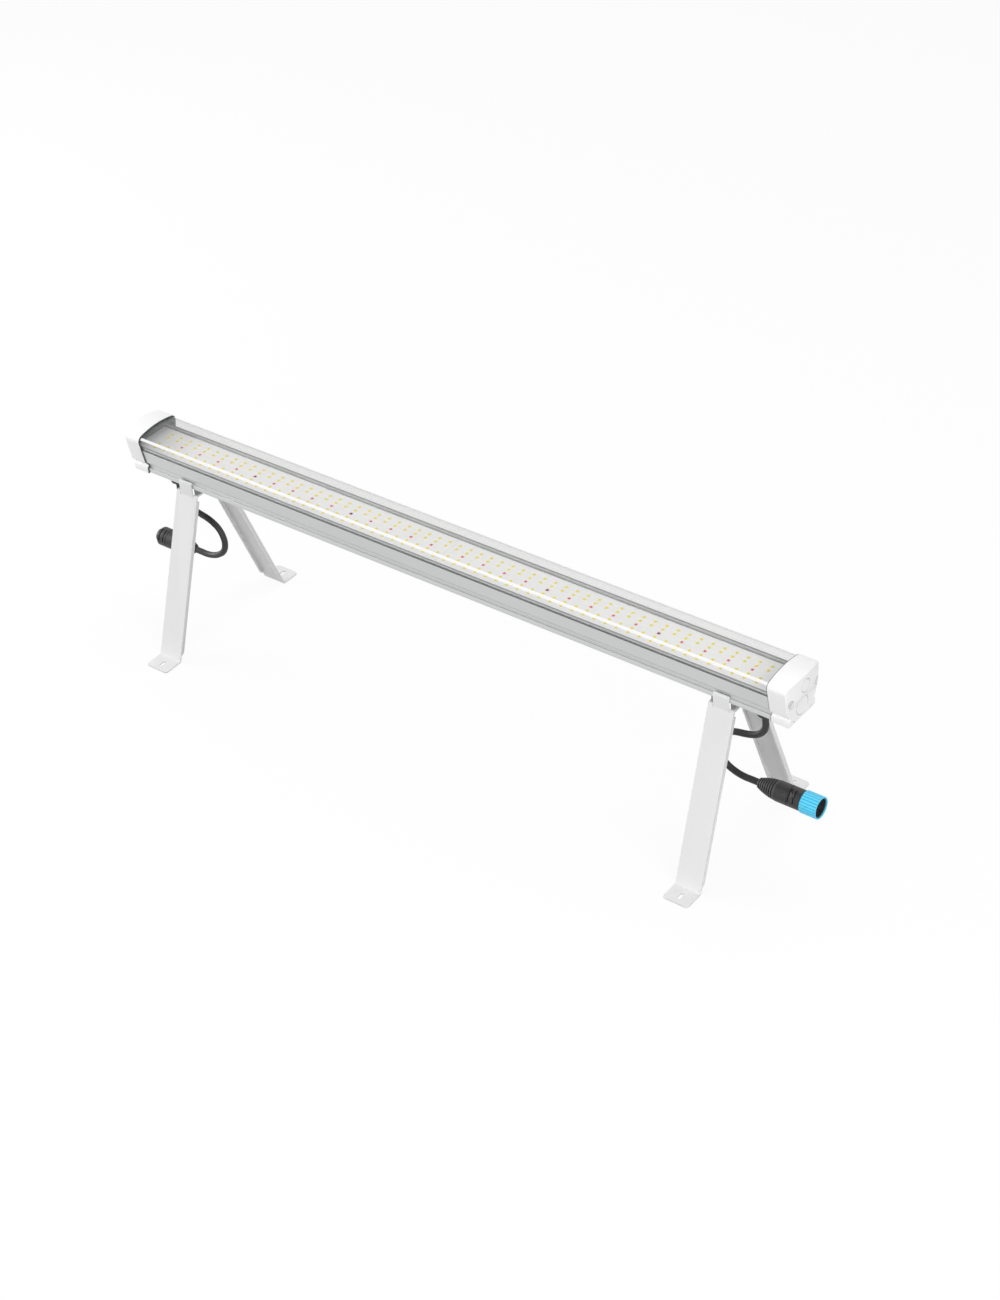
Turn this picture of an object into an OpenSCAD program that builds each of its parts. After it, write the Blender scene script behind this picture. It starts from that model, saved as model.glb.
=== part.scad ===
// Linear light bar on two clip-on stands, with a short lead and a round connector at each end.
// Millimetres. The ground is z = 0, the bar runs along X, the origin is midway between the feet.
// Heights called "above the rail" are measured from the underside of the housing.

/* [Bar section] */
// Length of the housing without its end caps
housing_l = 1116; // [800:2:1500]
// Width of the rail along the bottom of the housing
rail_w = 57.6; // [52:0.2:64]
// Height of the rail
rail_h = 7.3; // [5:0.1:9]
// How far the neck steps in from the rail on each side
neck_in = 2.6; // [2:0.1:3.5]
// Height of the straight part of the neck
neck_rise = 5.3; // [4:0.1:8]
// Height over which the neck flares out to the side wall
flare_rise = 6.4; // [5:0.1:9]
// How far the foot of the side wall stands out past the rail
side_out = 2.9; // [1:0.1:5]
// Outward lean of the side walls, in degrees
side_lean = 9.4; // [4:0.1:14]
// Height of the lens crown above the rail's underside
crown_h = 66.8; // [62:0.2:74]
// Radius of the crown
crown_r = 135; // [100:1:200]
// Radius between the crown and the side
shoulder_r = 7; // [5:0.5:10]

/* [Housing] */
// Wall of the extrusion
housing_wall = 1.8; // [1.4:0.1:2.4]
// Height of the shelf's top above the rail's underside
shelf_h = 39.8; // [36:0.1:42]
// Thickness of the shelf
shelf_t = 2; // [1.5:0.1:3]
// Height of the seam between housing and lens above the shelf
seam_rise = 0.6; // [0.4:0.1:2]
// Wall outside the lens groove
seam_wall = 1; // [0.8:0.1:1.4]
// Width of the lens groove
groove_w = 0.9; // [0.8:0.1:1.2]
// Depth of the lens groove below the seam
groove_d = 2; // [1.4:0.1:2.2]
// Thickness of the inner lip
lip_t = 1; // [0.8:0.1:1.4]
// Height of the inner lip above the shelf
lip_rise = 6; // [4:0.1:8]
// Radius of the hole in each screw port
port_r = 1.6; // [1.2:0.1:2]
// Wall around each screw port
port_wall = 1.7; // [1.2:0.1:2.2]

/* [Lens] */
// Thickness of the lens
lens_t = 1.6; // [1.3:0.1:1.9]
// Gap between lens and housing along the seam
seam_gap = 0.4; // [0.2:0.1:0.6]
// Clearance on each side of the lens tongue in its groove
tongue_gap = 0.2; // [0.1:0.05:0.25]
// Length of the tongue below the seam
tongue_d = 1.2; // [0.8:0.1:1.3]

/* [Boards] */
// Distance between the columns of LEDs
led_pitch = 18; // [14:0.5:24]
// Distance between the rows of LEDs
row_pitch = 9.36; // [7:0.02:11]
// Side of one square LED
led_w = 3; // [2.6:0.1:3.6]
// Height of one LED
led_t = 0.65; // [0.5:0.05:0.9]
// Thickness of a board
board_t = 1.6; // [1:0.1:2]
// Gap between a board and the inner lip
board_side_gap = 2.3; // [0.5:0.1:3]
// Gap between the two boards
board_gap = 0.4; // [0.2:0.1:1]
// Least distance from the last column to the end of its board
board_end = 20; // [12:1:30]
// Thickness of the thermal tape under the boards
tape_t = 0.25; // [0.15:0.05:0.5]

/* [End caps] */
// How far an end cap reaches over the housing
cap_cover = 15.8; // [12:0.2:24]
// How far the cap stands proud of the housing all round
cap_proud = 1.8; // [1.6:0.1:2.6]
// Thickness of the seal's sleeve and of the clearance around it
seal_sleeve = 0.5; // [0.3:0.05:0.6]
// Thickness of the seal's end plate
seal_plate = 2; // [1:0.1:3]
// Depth of the empty pocket behind the seal
cap_pocket = 6; // [4:0.5:12]
// Thickness of the cap's flat end
cap_end_wall = 3.2; // [2.8:0.1:5]
// How far the cap's end bulges out at its middle
cap_bulge = 5.7; // [3:0.1:8]
// Height above the rail at which the sloping part of the end starts
slope_h = 24.8; // [18:0.2:30]
// Slope of that part: how far it comes out for each millimetre up
slope_rate = 0.43; // [0.3:0.01:0.6]
// Diameter of the upper knock-out ring
upper_knock_d = 19.4; // [15:0.1:22]
// Height of the upper knock-out above the rail
upper_knock_h = 50.3; // [47:0.1:52]
// Diameter of the lower knock-out ring
lower_knock_d = 27.5; // [22:0.1:30]
// Height of the lower knock-out above the rail
lower_knock_h = 16.8; // [15:0.1:20]
// Diameter of the screw recesses
recess_d = 11.3; // [9:0.1:12]
// Diameter of the screw heads
screw_head_d = 6.8; // [5.5:0.1:8]
// Height of the screw heads
screw_head_h = 2.4; // [1.6:0.1:3]
// Length of the screws below their heads
screw_l = 24; // [18:1:40]

/* [Stands] */
// Distance from the end of the housing to the middle of each stand
stand_inset = 91.3; // [84:0.1:200]
// Width of each stand along the bar
stand_w = 40; // [32:1:50]
// Height of each stand's web
stand_h = 248; // [200:1:320]
// Width of each stand over its feet
foot_span = 299; // [240:1:360]
// Length of each foot
foot_l = 31; // [26:1:40]
// Thickness of the sheet
sheet = 2; // [1.5:0.1:2.5]
// Inner radius of the bends
bend_r = 1; // [0.6:0.1:2]
// Radius of the corners of the feet
foot_corner_r = 4.5; // [1:0.5:8]
// Length of each foot slot
slot_l = 12; // [8:0.5:16]
// Width of each foot slot
slot_w = 5.5; // [4:0.1:8]
// Depth of the legs' side flanges, over the sheet
flange_d = 6.5; // [4:0.5:9]
// Width of each clip tab
tab_w = 24; // [16:1:28]
// Gap between the rail's side and a clip tab
tab_gap = 0.5; // [0.3:0.1:2]
// How far a clip lip reaches in over the rail's top
lip_reach = 1.3; // [0.8:0.1:1.8]
// Gap between the rail and the clips and pads that hold it
rail_gap = 0.3; // [0.2:0.05:0.5]

/* [Rest pads] */
// Height of the pads that carry the rail on the webs
pad_h = 9.4; // [6:0.2:16]
// Width of a pad's head across the rail
pad_w = 24; // [16:1:40]
// Thickness of a pad's head
pad_head = 3; // [2:0.5:5]
// Diameter of the stud that holds a pad in its web
stud_d = 5; // [3:0.5:7]

/* [Glands] */
// Distance from the end of the housing to each gland
gland_inset = 44; // [33:1:53]
// How far each gland hangs below the bar
gland_drop = 22.7; // [20:0.1:28]
// Width across the flats of the gland's nut and body
gland_af = 24; // [22:0.5:27]
// Diameter of the gland's thread
gland_thread = 19.8; // [17:0.1:20]

/* [Cords and connectors] */
// Diameter of the cord
cord_d = 9.4; // [7:0.1:9.6]
// Height of the connectors' axis
connector_z = 116; // [80:1:160]
// How far the start of each connector lies inwards from its gland
connector_in = 11; // [0:1:14]
// Length of the ribbed boot
boot_l = 30; // [24:1:40]
// Diameter of the connector's body
connector_d = 29; // [26:0.5:32]
// Length of the socket's body up to its locking ring
socket_body_l = 39; // [32:1:46]
// Length of the locking ring
ring_l = 25.4; // [20:0.2:32]
// Outer diameter of the locking ring
ring_d = 30.8; // [28:0.1:34]
// Wall of the locking ring
ring_wall = 1.5; // [1.2:0.1:2]
// Length of the plug's body up to its nose
plug_body_l = 36; // [30:1:44]
// Length of the plug's nose
nose_l = 6; // [4:0.5:12]

/* [Driver] */
// Length of the driver's case
driver_l = 300; // [220:5:400]
// Width of the driver's case
driver_w = 44; // [36:1:46]
// Height of the driver's case without its lid
driver_h = 23; // [18:0.5:26]
// Wall of the driver's case
driver_wall = 1.5; // [1:0.1:2]
// Length of the transformer
transformer_l = 28; // [20:1:36]
// Diameter of the large capacitors
big_can_d = 12; // [8:0.5:14]
// Diameter of the small capacitors
small_can_d = 8; // [5:0.5:10]
// Thickness of the pads under the driver
driver_pad_t = 1; // [0.5:0.1:2]

/* [Hidden] */
$fn = 64;
// Reach of a cutting tool past the face that it cuts
over = 1;

// The bar rests on pads on the webs of the stands
bar_z = stand_h + pad_h + rail_gap;
half_l = housing_l / 2;
stand_x = half_l - stand_inset;
gland_x = half_l - gland_inset;

// Key points of the bar's outline, as half width and height above the rail
rail_y = rail_w / 2;
neck_y = rail_y - neck_in;
side_y = rail_y + side_out;
side_h = rail_h + neck_rise + flare_rise;
side_dir = [sin(side_lean), cos(side_lean)];
side_normal = [cos(side_lean), -sin(side_lean)];
crown_centre = [0, crown_h - crown_r];
// The shoulder's centre lies inside both the side line and the crown's circle
shoulder_start = [side_y, side_h] - shoulder_r * side_normal - crown_centre;
shoulder_run = -(shoulder_start * side_dir)
    + sqrt(pow(shoulder_start * side_dir, 2) - shoulder_start * shoulder_start
    + pow(crown_r - shoulder_r, 2));
shoulder_centre = crown_centre + shoulder_start + shoulder_run * side_dir;
// Angle at which the shoulder passes into the crown
crown_angle = atan2(shoulder_centre[1] - crown_centre[1], shoulder_centre[0]);
shoulder_steps = 8;
crown_steps = 24;

function arc(centre, r, from, to, steps) =
    [for (i = [0:steps]) let (a = from + (to - from) * i / steps) centre + r * [cos(a), sin(a)]];
function mirrored(points) = [for (i = [len(points) - 1:-1:0]) [-points[i][0], points[i][1]]];
function edge_normal(a, b) = [b[1] - a[1], a[0] - b[0]] / norm(b - a);
// Closed outline moved outward by g, corner by corner
function grown(points, g) = let (n = len(points)) [for (i = [0:n - 1])
    let (
        n1 = edge_normal(points[(i + n - 1) % n], points[i]),
        n2 = edge_normal(points[i], points[(i + 1) % n])
    ) points[i] + g * (n1 + n2) / (1 + n1 * n2)];

right_half = concat(
    [[rail_y, 0], [rail_y, rail_h], [neck_y, rail_h], [neck_y, rail_h + neck_rise], [side_y, side_h]],
    arc(shoulder_centre, shoulder_r, -side_lean, crown_angle, shoulder_steps)
);
crown = arc(crown_centre, crown_r, crown_angle, 180 - crown_angle, crown_steps);
bar_outline = concat(
    right_half,
    [for (i = [1:crown_steps - 1]) crown[i]],
    mirrored(right_half)
);
widest_y = shoulder_centre[0] + shoulder_r;

// Upper part of the housing, half widths taken from the side wall at the seam
seam_h = shelf_h + seam_rise;
seam_y = side_y + (seam_h - side_h) * tan(side_lean);
groove_out = seam_y - seam_wall;
groove_in = groove_out - groove_w;
lip_in = groove_in - lip_t;
board_w = 2 * (lip_in - board_side_gap);
board_l = half_l - board_gap / 2;
board_z = bar_z + shelf_h + tape_t;
led_z = board_z + board_t;
// Columns on each board
columns = floor((half_l - board_end - led_pitch / 2) / led_pitch) + 1;
// First column, counted from the left end of its board, that holds a red LED
red_first = [2, 1];
// Every second column from there is red, and these two of them are deep red
deep_red = [4, 9];

port_y = groove_in - port_r - port_wall - 0.6;
port_h = shelf_h - shelf_t / 2 - port_r;
port_boss_r = port_r + port_wall;

// End caps
cap_in = half_l - cap_cover;
cap_end = half_l + seal_plate + cap_pocket + cap_end_wall;
bulge_r = (pow(widest_y + cap_proud, 2) + pow(cap_bulge, 2)) / (2 * cap_bulge);
seal_gap = 0.1;
knock_groove = 0.7;
knock_depth = 0.6;
recess_floor = cap_end - 0.6;
shank_r = port_r - 0.1;
slit_r = 3.2;
slit_y = rail_y - 7.7;

// Stands, seen along the bar: the middle line of the sheet
half_sheet = sheet / 2;
mid_r = bend_r + half_sheet;
clip_y = rail_y + tab_gap + half_sheet;
foot_mid = half_sheet;
web_mid = stand_h - half_sheet;
leg_foot = [foot_span / 2 - foot_l - half_sheet / 2, foot_mid];
leg_top = [clip_y - 0.8, web_mid];
slot_y = foot_span / 2 - 13.5;
lip_under = bar_z + rail_h + rail_gap;
relief = 0.5;
flange_top = stand_h - 9;
flange_foot = 10.6;
// Length of sheet that stands up from the web as a clip tab
tab_run = lip_under + sheet - web_mid + clip_y - (rail_y - lip_reach);
window_y = clip_y - tab_run;
stud_r = stud_d / 2;
stud_gap = 0.1;

function unit(v) = v / norm(v);
// Arc that rounds corner b of the path a, b, c
function fillet(a, b, c, r) =
    let (
        u = unit(a - b), v = unit(c - b), half = acos(u * v) / 2,
        m = b + unit(u + v) * r / sin(half), p = b + u * r / tan(half), q = b + v * r / tan(half),
        from = atan2(p[1] - m[1], p[0] - m[0]), turn = atan2(q[1] - m[1], q[0] - m[0]) - from,
        sweep = turn > 180 ? turn - 360 : turn < -180 ? turn + 360 : turn
    ) arc(m, r, from, from + sweep, 6);
function rounded(p, r) = concat([p[0]],
    [for (i = [1:len(p) - 2]) each fillet(p[i - 1], p[i], p[i + 1], r)], [p[len(p) - 1]]);
// Outline of a sheet of thickness t along an open path
function strip(p, t) =
    let (
        last = len(p) - 1,
        side = [for (i = [0:last]) let (
            n1 = edge_normal(p[max(i - 1, 0)], p[max(i, 1)]),
            n2 = edge_normal(p[min(i, last - 1)], p[min(i + 1, last)])
        ) (n1 + n2) / (1 + n1 * n2) * t / 2]
    ) concat([for (i = [0:last]) p[i] + side[i]], [for (i = [last:-1:0]) p[i] - side[i]]);
function leg_at(z) = leg_foot + (leg_top - leg_foot) * (z - foot_mid) / (web_mid - foot_mid);

// Glands
gland_bottom = bar_z - gland_drop;
washer_t = 1.1;
flange_h = 5.5;
nut_top = bar_z - washer_t - flange_h - 0.3;
nut_hex_h = 9;
thread_r = gland_thread / 2;
dome_r = gland_af / 2 - 0.9;
dome_round = 3;
cord_r = cord_d / 2;
gland_bore_r = cord_r + 0.3;
lead_top = bar_z + 14.3;

// Wiring inside the housing
floor_z = bar_z + housing_wall;
wire_r = 1.2;
block_x = gland_x - 38;
block_l = 16;
block_w = 44;
block_top = bar_z + 32;
arm_w = 2 * (side_y - housing_wall - 1.2);
arm_z = bar_z + side_h + 2;
through_y = arm_w / 2 - 2.2;
feed_y = driver_w / 2 - 16;
feed_z = bar_z + 20;
dc_x = driver_l / 2 + 20;
dc_y = driver_w / 2 - 8;
dc_z = bar_z + 14;
dc_wire_r = 1;
dc_hole_r = 2.2;
earth_x = block_x - 36;

// Free cord, the same on both sides: how far inwards from the gland, and how far down from it
cord_in = [0, 0, 0, 3, 11, 20, 30, 48, 60, 70, 76, 77, 72, 61, 49, 35, 23, connector_in];
cord_down = [0, 10, 19, 28, 37, 42, 45, 49, 54, 62, 74, 86, 100, 110, 116, 119, 119, 119];
// The drop is stretched to end at the connector's height
cord_stretch = (gland_bottom - connector_z) / 119;
cord_route = [for (i = [0:len(cord_in) - 1])
    [gland_x - cord_in[i], gland_bottom - cord_down[i] * cord_stretch]];
cord_sides = 12;

// Connectors, along their axis from the middle of the bar
connector_r = connector_d / 2;
connector_x = gland_x - connector_in;
body_x = connector_x + boot_l;
ring_x = body_x + socket_body_l + 0.3;
boot_start_r = 7;
boot_ribs = 8;
rib_depth = 1.3;
ring_gap = 0.1;
barrel_r = ring_d / 2 - ring_wall - ring_gap;
insert_r = barrel_r - 1.5;
nose_r = connector_r - 4.5;
nose_wall = 1.8;
plug_insert_r = nose_r - nose_wall - 0.1;
contact_circle_r = 6;
contact_r = 1.9;
slot_arc = 80;
slot_gap_w = 1.7;

// Shapes drawn as width and height, laid along the bar from one X to another
module along_x(from, to) {
    translate([from, 0, bar_z]) rotate([90, 0, 90]) linear_extrude(to - from) children();
}

// The right end, or its mirror image at the left end
module at_end(side) {
    if (side > 0) children();
    else mirror([1, 0, 0]) children();
}

// Round shapes on the connectors' axis, drawn along +Z from the given X
module on_axis(x) {
    translate([x, 0, connector_z]) rotate([0, 90, 0]) children();
}

module hexagon(af, h) {
    cylinder(d = af / cos(30), h = h, $fn = 6);
}

module tube_wire(from, to, r) {
    translate(from) rotate([0, from[0] == to[0] ? 0 : 90, 0])
        cylinder(r = r, h = norm(to - from), $fn = 24);
}

module housing_section() {
    difference() {
        union() {
            difference() {
                intersection() {
                    polygon(bar_outline);
                    translate([-rail_w, 0]) square([2 * rail_w, seam_h]);
                }
                intersection() {
                    polygon(grown(bar_outline, -housing_wall));
                    translate([-rail_w, 0]) square([2 * rail_w, shelf_h - shelf_t]);
                }
                translate([-groove_in, shelf_h]) square([2 * groove_in, lip_rise]);
            }
            for (s = [-1, 1]) {
                translate([s * (lip_in + lip_t / 2) - lip_t / 2, shelf_h - shelf_t / 2])
                    square([lip_t, lip_rise + shelf_t / 2]);
                translate([s * port_y, port_h]) circle(port_boss_r);
            }
        }
        for (s = [-1, 1]) {
            translate([s * (groove_in + groove_w / 2) - groove_w / 2, seam_h - groove_d])
                square([groove_w, groove_d + over]);
            translate([s * port_y, port_h]) circle(port_r);
        }
        translate([-lip_in, shelf_h]) square([2 * lip_in, lip_rise + over]);
    }
}

module housing() {
    color([0.76, 0.77, 0.76]) difference() {
        along_x(-half_l, half_l) housing_section();
        for (s = [-1, 1]) {
            translate([s * gland_x, 0, bar_z - over])
                cylinder(r = thread_r + 0.2, h = housing_wall + 2 * over);
            for (y = [-dc_y, dc_y]) translate([s * dc_x, y, bar_z + shelf_h - shelf_t - over])
                cylinder(r = dc_hole_r, h = shelf_t + 2 * over);
        }
        translate([earth_x, 0, bar_z - over]) cylinder(r = 2, h = housing_wall + 2 * over);
    }
}

module lens_cover() {
    lens_foot = seam_h + seam_gap;
    tongue_w = groove_w - 2 * tongue_gap;
    color([0.93, 0.94, 0.95, 0.35]) along_x(-half_l, half_l) {
        difference() {
            polygon(bar_outline);
            polygon(grown(bar_outline, -lens_t));
            translate([-rail_w, -over]) square([2 * rail_w, lens_foot + over]);
        }
        for (s = [-1, 1]) {
            translate([s * (groove_in + groove_w / 2) - tongue_w / 2, seam_h - tongue_d])
                square([tongue_w, tongue_d + seam_gap + 0.5]);
        }
    }
}

// A board or its tape, half the length of the housing, with holes for the leads below it
module half_sheet_of(side, z, t) {
    at_end(side) difference() {
        translate([board_gap / 2, -board_w / 2, z]) cube([board_l, board_w, t]);
        if (z < board_z) {
            for (y = [-dc_y, dc_y]) translate([dc_x, y, z - over])
                cylinder(r = dc_hole_r, h = t + 2 * over);
        }
    }
}

module board(side) {
    color([0.95, 0.95, 0.94]) half_sheet_of(side, board_z, board_t);
}

module tape(side) {
    color([0.55, 0.57, 0.6]) half_sheet_of(side, board_z - tape_t, tape_t);
}

module led(x, y) {
    translate([x - led_w / 2, y - led_w / 2, led_z]) cube([led_w, led_w, led_t]);
}

module white_leds(side) {
    color([0.89, 0.79, 0.32]) for (i = [0:columns - 1]) {
        for (row = [-2, -1, 1, 2]) led(side * led_pitch * (i + 0.5), row * row_pitch);
    }
}

// Red LEDs of the middle row: wanted is true for the deep red ones
module red_row(wanted) {
    for (b = [0, 1]) {
        for (k = [0:floor((columns - 1 - red_first[b]) / 2)]) {
            column = red_first[b] + 2 * k;
            is_deep = len(search(k, deep_red)) > 0;
            x = b == 0 ? -led_pitch * (columns - column - 0.5) : led_pitch * (column + 0.5);
            if (is_deep == wanted) led(x, 0);
        }
    }
}

module red_leds() {
    color([0.93, 0.35, 0.4]) red_row(false);
}

module deep_red_leds() {
    color([0.5, 0.16, 0.2]) red_row(true);
}

module bulge_body(inset) {
    translate([cap_end + cap_bulge - bulge_r, 0, bar_z - rail_h])
        cylinder(r = bulge_r - inset, h = 2 * crown_h, $fn = 256);
}

module ring_along_x(x, y, h, r, w) {
    translate([x, y, bar_z + h]) rotate([0, 90, 0]) difference() {
        cylinder(r = r, h = 2 * cap_bulge);
        translate([0, 0, -over]) cylinder(r = r - w, h = 2 * cap_bulge + 2 * over);
    }
}

module end_cap(side) {
    slope_out = cap_bulge + over;
    color([0.97, 0.97, 0.97]) at_end(side) difference() {
        intersection() {
            along_x(cap_in, cap_end + slope_out) polygon(grown(bar_outline, cap_proud));
            bulge_body(0);
            translate([0, 2 * rail_w, bar_z]) rotate([90, 0, 0]) linear_extrude(4 * rail_w)
                polygon([[cap_in - over, -rail_h], [cap_end, -rail_h], [cap_end, slope_h],
                    [cap_end + slope_out, slope_h + slope_out / slope_rate],
                    [cap_end + slope_out, 2 * crown_h], [cap_in - over, 2 * crown_h]]);
        }
        along_x(cap_in - over, half_l + seal_plate + cap_pocket)
            polygon(grown(bar_outline, seal_sleeve + 2 * seal_gap));
        difference() {
            ring_along_x(cap_end, 0, upper_knock_h, upper_knock_d / 2, knock_groove);
            bulge_body(knock_depth);
        }
        translate([cap_end, 0, bar_z + lower_knock_h]) rotate([0, 90, 0])
            cylinder(d = lower_knock_d, h = 2 * cap_bulge);
        ring_along_x(cap_end - knock_depth, 0, lower_knock_h, lower_knock_d / 2, knock_groove);
        for (s = [-1, 1]) {
            translate([recess_floor, s * port_y, bar_z + port_h]) rotate([0, 90, 0])
                cylinder(d = recess_d, h = 2 * cap_bulge);
            translate([half_l, s * port_y, bar_z + port_h]) rotate([0, 90, 0])
                cylinder(r = shank_r + 0.3, h = cap_end - half_l);
            intersection() {
                ring_along_x(cap_end - knock_depth, s * slit_y, 0.7, slit_r, knock_groove);
                translate([cap_end - over, s * slit_y - (s > 0 ? slit_r : 0), bar_z - slit_r])
                    cube([2 * over, slit_r, 2 * slit_r]);
            }
        }
    }
}

// Soft cup between cap and housing: end plate, thin sleeve and a lip round the cap's rim
module cap_seal(side) {
    color([0.28, 0.29, 0.3]) at_end(side) difference() {
        union() {
            along_x(cap_in, half_l + seal_plate) polygon(grown(bar_outline, seal_sleeve + seal_gap));
            along_x(cap_in - 0.8, cap_in) polygon(grown(bar_outline, cap_proud - 0.3));
        }
        along_x(cap_in - over, half_l) polygon(grown(bar_outline, seal_gap));
        for (s = [-1, 1]) translate([half_l - over, s * port_y, bar_z + port_h]) rotate([0, 90, 0])
            cylinder(r = shank_r + 0.3, h = seal_plate + 2 * over);
    }
}

module cap_screws() {
    color([0.7, 0.71, 0.72]) for (side = [-1, 1]) at_end(side) {
        for (s = [-1, 1]) translate([recess_floor, s * port_y, bar_z + port_h]) rotate([0, 90, 0]) {
            difference() {
                cylinder(d = screw_head_d, h = screw_head_h);
                for (turn = [0, 90]) rotate(turn) translate([-1.9, -0.5, screw_head_h - 1.2])
                    cube([3.8, 1, 1 + over]);
            }
            translate([0, 0, -screw_l]) cylinder(r = shank_r, h = screw_l);
        }
    }
}

module driver_pads() {
    color([0.62, 0.64, 0.66]) for (x = [-1, 0, 1]) {
        translate([x * driver_l / 3 - 15, -driver_w / 2 + 2, floor_z])
            cube([30, driver_w - 4, driver_pad_t]);
    }
}

driver_z = floor_z + driver_pad_t;
driver_board_z = driver_z + driver_wall + 4;

module driver_case() {
    color([0.8, 0.8, 0.82]) {
        difference() {
            translate([-driver_l / 2, -driver_w / 2, driver_z]) cube([driver_l, driver_w, driver_h]);
            translate([-driver_l / 2 + driver_wall, -driver_w / 2 + driver_wall, driver_z + driver_wall])
                cube([driver_l - 2 * driver_wall, driver_w - 2 * driver_wall, driver_h]);
        }
        for (x = [-1, 1]) for (y = [-1, 1]) {
            translate([x * (driver_l / 2 - 12), y * (driver_w / 2 - 8), driver_z])
                cylinder(r = 2.5, h = driver_board_z - driver_z);
        }
    }
}

module driver_lid() {
    color([0.8, 0.8, 0.82]) translate([-driver_l / 2, -driver_w / 2, driver_z + driver_h])
        cube([driver_l, driver_w, driver_wall]);
}

module driver_board() {
    color([0.16, 0.42, 0.24])
        translate([-driver_l / 2 + driver_wall + 1, -driver_w / 2 + driver_wall + 1, driver_board_z])
        cube([driver_l - 2 * driver_wall - 2, driver_w - 2 * driver_wall - 2, board_t]);
}

module driver_transformer() {
    core_w = transformer_l - 4;
    core_t = transformer_l / 7;
    coil_l = transformer_l - 10;
    coil_w = core_w - 8;
    color([0.75, 0.62, 0.25]) translate([0, 0, driver_board_z + board_t]) {
        for (z = [0, 2 * core_t]) translate([-transformer_l / 2, -core_w / 2, z])
            cube([transformer_l, core_w, core_t]);
        translate([-coil_l / 2, -coil_w / 2, 0]) cube([coil_l, coil_w, 3 * core_t]);
    }
}

module driver_capacitors() {
    color([0.15, 0.17, 0.25]) translate([0, 0, driver_board_z + board_t]) {
        for (s = [-1, 1], side = [-1, 1])
            translate([s * 0.28 * driver_l + side * 0.65 * big_can_d, big_can_d / 2, 0])
                cylinder(d = big_can_d, h = 1.1 * big_can_d);
        for (s = [-1, 1]) translate([s * driver_l / 6, -small_can_d, 0])
            cylinder(d = small_can_d, h = 1.4 * small_can_d);
    }
}

module terminal_block(side) {
    color([0.93, 0.92, 0.88]) at_end(side) translate([block_x - block_l / 2, 0, 0]) {
        translate([0, -block_w / 2, floor_z]) cube([block_l, block_w, block_top - floor_z]);
        translate([0, -arm_w / 2, arm_z]) cube([block_l, arm_w, block_top - arm_z]);
    }
}

module through_wires() {
    inner = block_x - block_l / 2;
    color([0.35, 0.33, 0.3]) for (i = [0:2]) {
        z = arm_z + 2 + 3.4 * i;
        tube_wire([-inner, through_y, z], [inner, through_y, z], wire_r);
    }
}

module driver_feed() {
    inner = block_x - block_l / 2;
    color([0.45, 0.3, 0.2]) for (y = [-feed_y, feed_y]) {
        tube_wire([-inner, y, feed_z], [-driver_l / 2, y, feed_z], wire_r);
    }
}

module dc_leads() {
    color([0.75, 0.15, 0.12]) for (s = [-1, 1]) at_end(s) for (y = [-dc_y, dc_y]) {
        tube_wire([driver_l / 2, y, dc_z], [dc_x, y, dc_z], dc_wire_r);
        translate([dc_x, y, dc_z]) sphere(r = dc_wire_r, $fn = 24);
        tube_wire([dc_x, y, dc_z], [dc_x, y, board_z], dc_wire_r);
    }
}

module earth_screw() {
    color([0.72, 0.7, 0.6]) translate([earth_x, 0, 0]) {
        translate([0, 0, floor_z + 0.8]) cylinder(r = 3.6, h = 2.6);
        translate([0, 0, bar_z + 0.2]) cylinder(r = 1.9, h = 4);
    }
}

module earth_lead() {
    inner = block_x - block_l / 2;
    color([0.45, 0.6, 0.2]) {
        difference() {
            translate([earth_x - 4.5, -4.5, floor_z]) cube([16, 9, 0.8]);
            translate([earth_x, 0, floor_z - over]) cylinder(r = 2, h = 0.8 + 2 * over);
        }
        tube_wire([earth_x + 6, 0, floor_z + 1.6], [inner, 0, floor_z + 1.6], wire_r);
    }
}

module gland_body(side) {
    collar_z = nut_top - nut_hex_h + 1;
    flange_z = nut_top + 0.3;
    color([0.17, 0.17, 0.18]) at_end(side) translate([gland_x, 0, 0]) difference() {
        union() {
            translate([0, 0, collar_z]) cylinder(r = thread_r, h = flange_z - collar_z + over);
            translate([0, 0, flange_z]) hexagon(gland_af, flange_h);
            translate([0, 0, flange_z + flange_h - over]) cylinder(r = thread_r, h = washer_t + 10 + over);
        }
        translate([0, 0, collar_z - over]) cylinder(r = thread_r - 2, h = flange_z - collar_z + over);
        translate([0, 0, collar_z]) cylinder(r = gland_bore_r, h = 40);
    }
}

module gland_nut(side) {
    color([0.17, 0.17, 0.18]) at_end(side) translate([gland_x, 0, 0]) difference() {
        union() {
            translate([0, 0, nut_top - nut_hex_h]) hexagon(gland_af, nut_hex_h);
            rotate_extrude() polygon(concat(
                [[0, gland_bottom]],
                arc([dome_r - dome_round, gland_bottom + dome_round], dome_round, -90, 0, 6),
                [[dome_r, nut_top - nut_hex_h + over], [0, nut_top - nut_hex_h + over]]
            ));
        }
        translate([0, 0, gland_bottom - over]) cylinder(r = gland_bore_r, h = 20);
        translate([0, 0, gland_bottom + 4]) cylinder(r = thread_r + 0.1, h = 20);
    }
}

// Rubber sleeve that grips the cord inside the gland
module gland_seals() {
    seal_z = gland_bottom + 4.2;
    color([0.25, 0.25, 0.26]) for (s = [-1, 1]) translate([s * gland_x, 0, seal_z]) difference() {
        cylinder(r = thread_r - 2.2, h = nut_top - seal_z);
        translate([0, 0, -over]) cylinder(r = cord_r + 0.1, h = 30);
    }
}

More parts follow.
